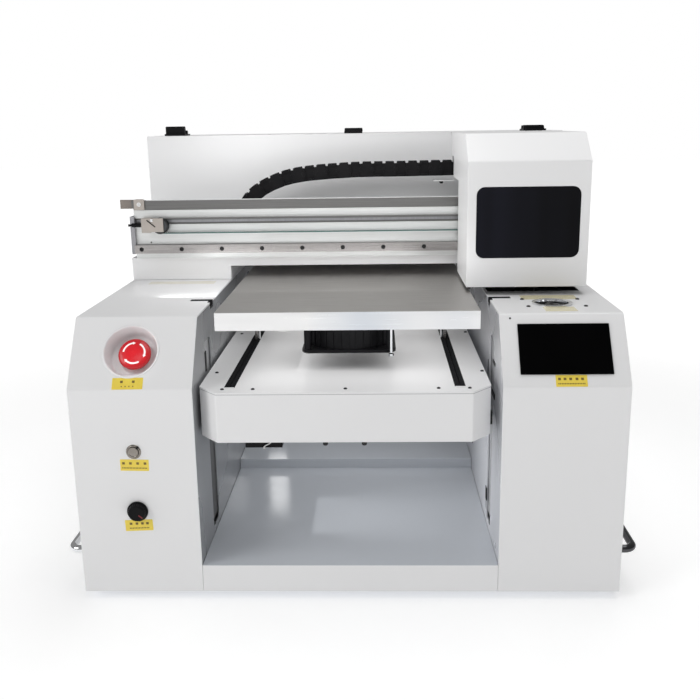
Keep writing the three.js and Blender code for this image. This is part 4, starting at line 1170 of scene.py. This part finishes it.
def tray_details():
    """Brushes and liners in the slots, screws and a seam on the sheet, and small parts under its front."""
    top = TRAY[1].z
    for name, slot in SLOTS:
        part(name + "_slot_brush", "table", HAIR, *(
            (box, (slot + a, slot + b), (19.5, 629.7), (top - 2.6, top + 0.3))
            for a, b in ((-6.4, -0.5), (0.5, 6.4))))
        part(name + "_slot_liner", "table", BLACK, *(
            (box, (slot + a, slot + b), (17, 630), (233.5, top - 2.2))
            for a, b in ((-8.0, -6.8), (6.8, 8.0))), edge=0.2)
        part(name + "_brush_end", "table", SIGN_WHITE,
             (box, (slot - 6.3, slot + 6.3), (14.6, 19.4), (top - 2.4, top + 0.6)), edge=0.4)
    seams = []
    outline = [(-176.5, 25), (-152.5, -3), (152.5, -3), (176.5, 25)]
    for (ax, ay), (bx, by) in zip(outline, outline[1:]):
        across = Vector((by - ay, ax - bx)).normalized()
        quad = [(TABLE_X + x + k * across.x, y + k * across.y)
                for x, y, k in ((ax, ay, 0.06), (bx, by, 0.06), (bx, by, -0.5), (ax, ay, -0.5))]
        seams.append((prism, "z", quad, top - 2.6, top - 2.0))
    part("tray_seam", "table", SLOT_GREY, *seams)
    centres = [(x, 12) for x in (-150, -113, -2, 109, 146)]
    centres += [(side * 169, y) for side in (-1, 1) for y in (87, 306, 572)]
    screws("tray_screws", "table", BLACK_METAL, "z", top, 2.3, centres)
    bumper = [(0, 191), (2, 191), (3.1, 192.2), (3.1, 199.2), (0, 199.2)]
    part("tray_bumpers", "table", RUBBER, *((lathe, "z", (x, 9), bumper, 28) for x in (-27, 20)), smooth=40)
    part("tray_switch", "table", BLACK, (box, (-125, -80), (14, 40), (186.3, 198.8)), edge=0.5)
    tube("switch_wire", "table", WIRE_WHITE, [
        (-91, 13.4, 198.6), (-92, 12.6, 194.5), (-96, 12.4, 191.5), (-101, 12.4, 189.5), (-103, 12.8, 186.5),
        (-102.4, 14.5, 184.8), (-100, 20, 185.4), (-98, 26, 187.5),
    ], 0.75)


def tube(name, body, look, points, radius):
    """A round wire through smooth points."""
    curve = bpy.data.curves.new(name, "CURVE")
    curve.dimensions = "3D"
    curve.resolution_u = 6
    curve.bevel_depth = radius * MM
    curve.bevel_resolution = 4
    curve.use_fill_caps = True
    spline = curve.splines.new("NURBS")
    spline.points.add(len(points) - 1)
    for point, at in zip(spline.points, points):
        point.co = (*(TO_FRAME @ Vector(at)), 1)
    spline.use_endpoint_u = True
    spline.order_u = 4
    curve.materials.append(look)
    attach(linked(name, curve), body)


def lift_screws():
    """Two-start screw threads over plain couplings, with nuts on the arms."""
    coupling = [(0, 50), (9.4, 50), (10, 50.6), (10, 60.4), (9.4, 61), (5.4, 61), (5.4, 65), (0, 65)]
    nut = [(6.9, 176), (11, 176), (11, 182.2), (17, 182.2), (17, 185.8), (6.9, 185.8)]
    steps, lead, first = 20, 8.0, 64
    for side in ("left", "right"):
        node = side + "_lift_screw"
        centre, top = centre_of(node, "z"), machine_box(node)[1].z
        thread = []
        for level in range(int(top - first) + 1):
            z = first + level
            points = []
            for k in range(steps):
                crest = (z / lead * 2 - 2 * k / steps) % 1 < 0.45
                turn = math.tau * k / steps
                radius = 5.95 if crest else 5.0
                points.append((radius * math.cos(turn), radius * math.sin(turn)))
            thread.append((points, z))
        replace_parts(part(node + "_thread", side + "_screw", TURNED, (loft, "z", centre, thread),
                         (lathe, "z", centre, coupling, 40), smooth=30), node)
        part(side + "_lift_nut", "table", BRASS, (lathe, "z", centre, nut, 40, True), edge=0.3)


def stepper_details():
    """Bright end bells on the black lift motors."""
    proud, cut = 0.15, 4.85
    for node in ("left_lift_motor", "right_lift_motor"):
        refine(node, BLACK_METAL, edge=0.6)
        low, high = machine_box(node)
        x0, x1, y0, y1 = low.x - proud, high.x + proud, low.y - proud, high.y + proud
        outline = [(low.x + cut, y0), (high.x - cut, y0), (x1, low.y + cut), (x1, high.y - cut),
                   (high.x - cut, y1), (low.x + cut, y1), (x0, high.y - cut), (x0, low.y + cut)]
        part(node + "_bells", "machine", TURNED, (prism, "z", outline, low.z + 0.2, low.z + 9),
             (prism, "z", outline, high.z - 10, high.z + proud), edge=0.4)


tray_details()
lift_screws()
stepper_details()


# ---- platen and suction fan

refine("platen_saddle", STEEL)
plate = refine("platen", [PLATEN_TOP, MILLED], edge=0.5)
for face in plate.data.polygons:
    face.material_index = 0 if abs(face.normal.z) > 0.8 else 1


def suction_fan():
    """A box fan: two flanges, a ribbed barrel, corner tubes, spokes and twisted blades."""
    low, high = machine_box("suction_fan")
    centre, steps, bore = centre_of("suction_fan", "z"), 64, 55.2
    bottom, top = low.z, high.z
    outer, inner = loop(steps, square((high.x - low.x) / 2, 80)), loop(steps, lambda turn: bore)
    shapes = [(loft, "z", centre, [(outer, z), (outer, z + 4), (inner, z + 4), (inner, z)], True)
              for z in (bottom, top - 4)]
    barrel = [(bore, bottom + 3), (57.6, bottom + 3), (57.6, top - 3), (bore, top - 3)]
    hub = [(0, top - 6), (20, top - 6), (20, top - 0.6), (19.4, top), (0, top)]
    tubes = corners_of(centre, 52.5)
    shapes += [
        (lathe, "z", centre, barrel, steps, True),
        (spokes, "z", centre, 36, 0, (57, 58.8), (-0.7, 0.7), (bottom + 3, top - 3)),
        *((rod, "z", tube_centre, 4.6, bottom + 3, top - 3, 24) for tube_centre in tubes),
        (lathe, "z", centre, hub, 48),
        (spokes, "z", centre, 4, 0, (18, 56), (-2.6, 2.6), (top - 4, top - 0.1)),
    ]
    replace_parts(part("fan_frame", "platen_carrier", BLACK, *shapes, edge=0.4), "suction_fan")
    screws("fan_screws", "platen_carrier", TURNED, "z", bottom, 3.4, tubes, -1)
    hub_low, hub_high = bottom + 4, top - 7.7
    hub = [(0, hub_low), (17, hub_low), (18, hub_low + 1), (18, hub_high), (0, hub_high)]
    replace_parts(part("fan_wheel", "suction_wheel", BLACK, (lathe, "z", centre, hub, 48), (
        blades, "z", centre, 17, 52, 6, (0.28, 0.22), 0.12, (hub_low + hub_high) / 2, 9.5, 2.2, 1.2,
    ), smooth=40), "suction_impeller")


def platen_fixings():
    """Bright studs that hang the fan, and the lead that curls to the left post."""
    under = machine_box("suction_fan")[0].z
    studs = []
    for centre in ((54, 86), (-54, 214)):
        nut = [(0, under - 3.5), (3.4, under - 3.5), (3.4, under), (0, under)]
        studs += [(rod, "z", centre, 1.8, under + 1, machine_box("platen")[0].z + 0.2, 16),
                  (lathe, "z", centre, nut, 6)]
    part("fan_studs", "platen_carrier", CHROME, *studs, smooth=30)
    part("post_studs", "platen_carrier", CHROME, *(
        (rod, "z", (x, y), 1.6, TRAY[1].z + 2, 316, 16)
        for x in (SLOTS[0][1] + 6, SLOTS[1][1] - 6) for y in (265.5, 410.5)), smooth=30)
    tube("fan_lead", "platen_carrier", WIRE_WHITE, [
        (-58, 120, 318), (-66, 116, 312), (-84, 118, 306), (-104, 132, 308), (-118, 160, 314),
        (-126, 205, 319), (-134, 250, 322), (-136.5, 258, 323),
    ], 1.3)


suction_fan()
platen_fixings()


# ---- print carriage

refine("hood", WHITE, edge=0.6, bend=2.0)
refine("hood_window", WINDOW_LOOK, edge=0.3)
refine("carriage_plate", ANODISED)
refine("print_head", BLACK, edge=0.8)
refine("uv_lamp", ANODISED, edge=1.0)
refine("cap_station", RUBBER, edge=0.6)


def hood_fixings():
    """The bracket that holds the chain's end, and small screws in the hood."""
    low, high = machine_box("hood")
    part("chain_bracket", "carriage", SIGN_WHITE, (box, (low.x - 30, low.x + 1), (399, 421), (479.6, 481.4)),
         edge=0.3)
    screws("chain_bracket_screw", "carriage", BLACK_METAL, "z", 479.6, 3.2, [(low.x - 18, 404)], -1, 3.6)
    screws("hood_corner_screw", "carriage", BLACK_METAL, "z", low.z, 2.6, [(low.x + 5, low.y + 9)], -1, 3.4)
    screws("hood_side_screws_right", "carriage", TURNED, "x", high.x, 2.6,
           [(200, 372), (290, 372), (330, 538), (420, 538)])


def head_details():
    """Nozzle plate, ink dampers and lamp fins inside the hood."""
    low, high = machine_box("print_head")
    x, y = centre_of("print_head", "z")
    part("nozzle_plate", "carriage", STEEL,
         (box, (x - 12, x + 12), (y - 28, y + 28), (low.z - 0.05, low.z + 1.0)), edge=0.2)
    dampers = []
    for row in range(6):
        y0 = low.y + 6 + 11 * row
        dampers += [(box, (x - 14, x + 14), (y0, y0 + 8), (high.z - 0.2, high.z + 16)),
                    (rod, "z", (x, y0 + 4), 2.2, high.z + 15, high.z + 22, 16)]
    part("ink_dampers", "carriage", TANK, *dampers, edge=0.6)
    low, high = machine_box("uv_lamp")
    part("lamp_fins", "carriage", BLACK_METAL, *(
        (box, (low.x + 3, high.x - 3), (low.y + 4 + 6 * k, low.y + 6 + 6 * k), (high.z - 0.2, high.z + 14))
        for k in range(11)), edge=0.3)
    part("lamp_glass", "carriage", SCREEN_LOOK,
         (box, (low.x + 8, high.x - 8), (low.y + 8, high.y - 8), (low.z - 0.1, low.z + 0.8)), edge=0.2)


hood_fixings()
head_details()
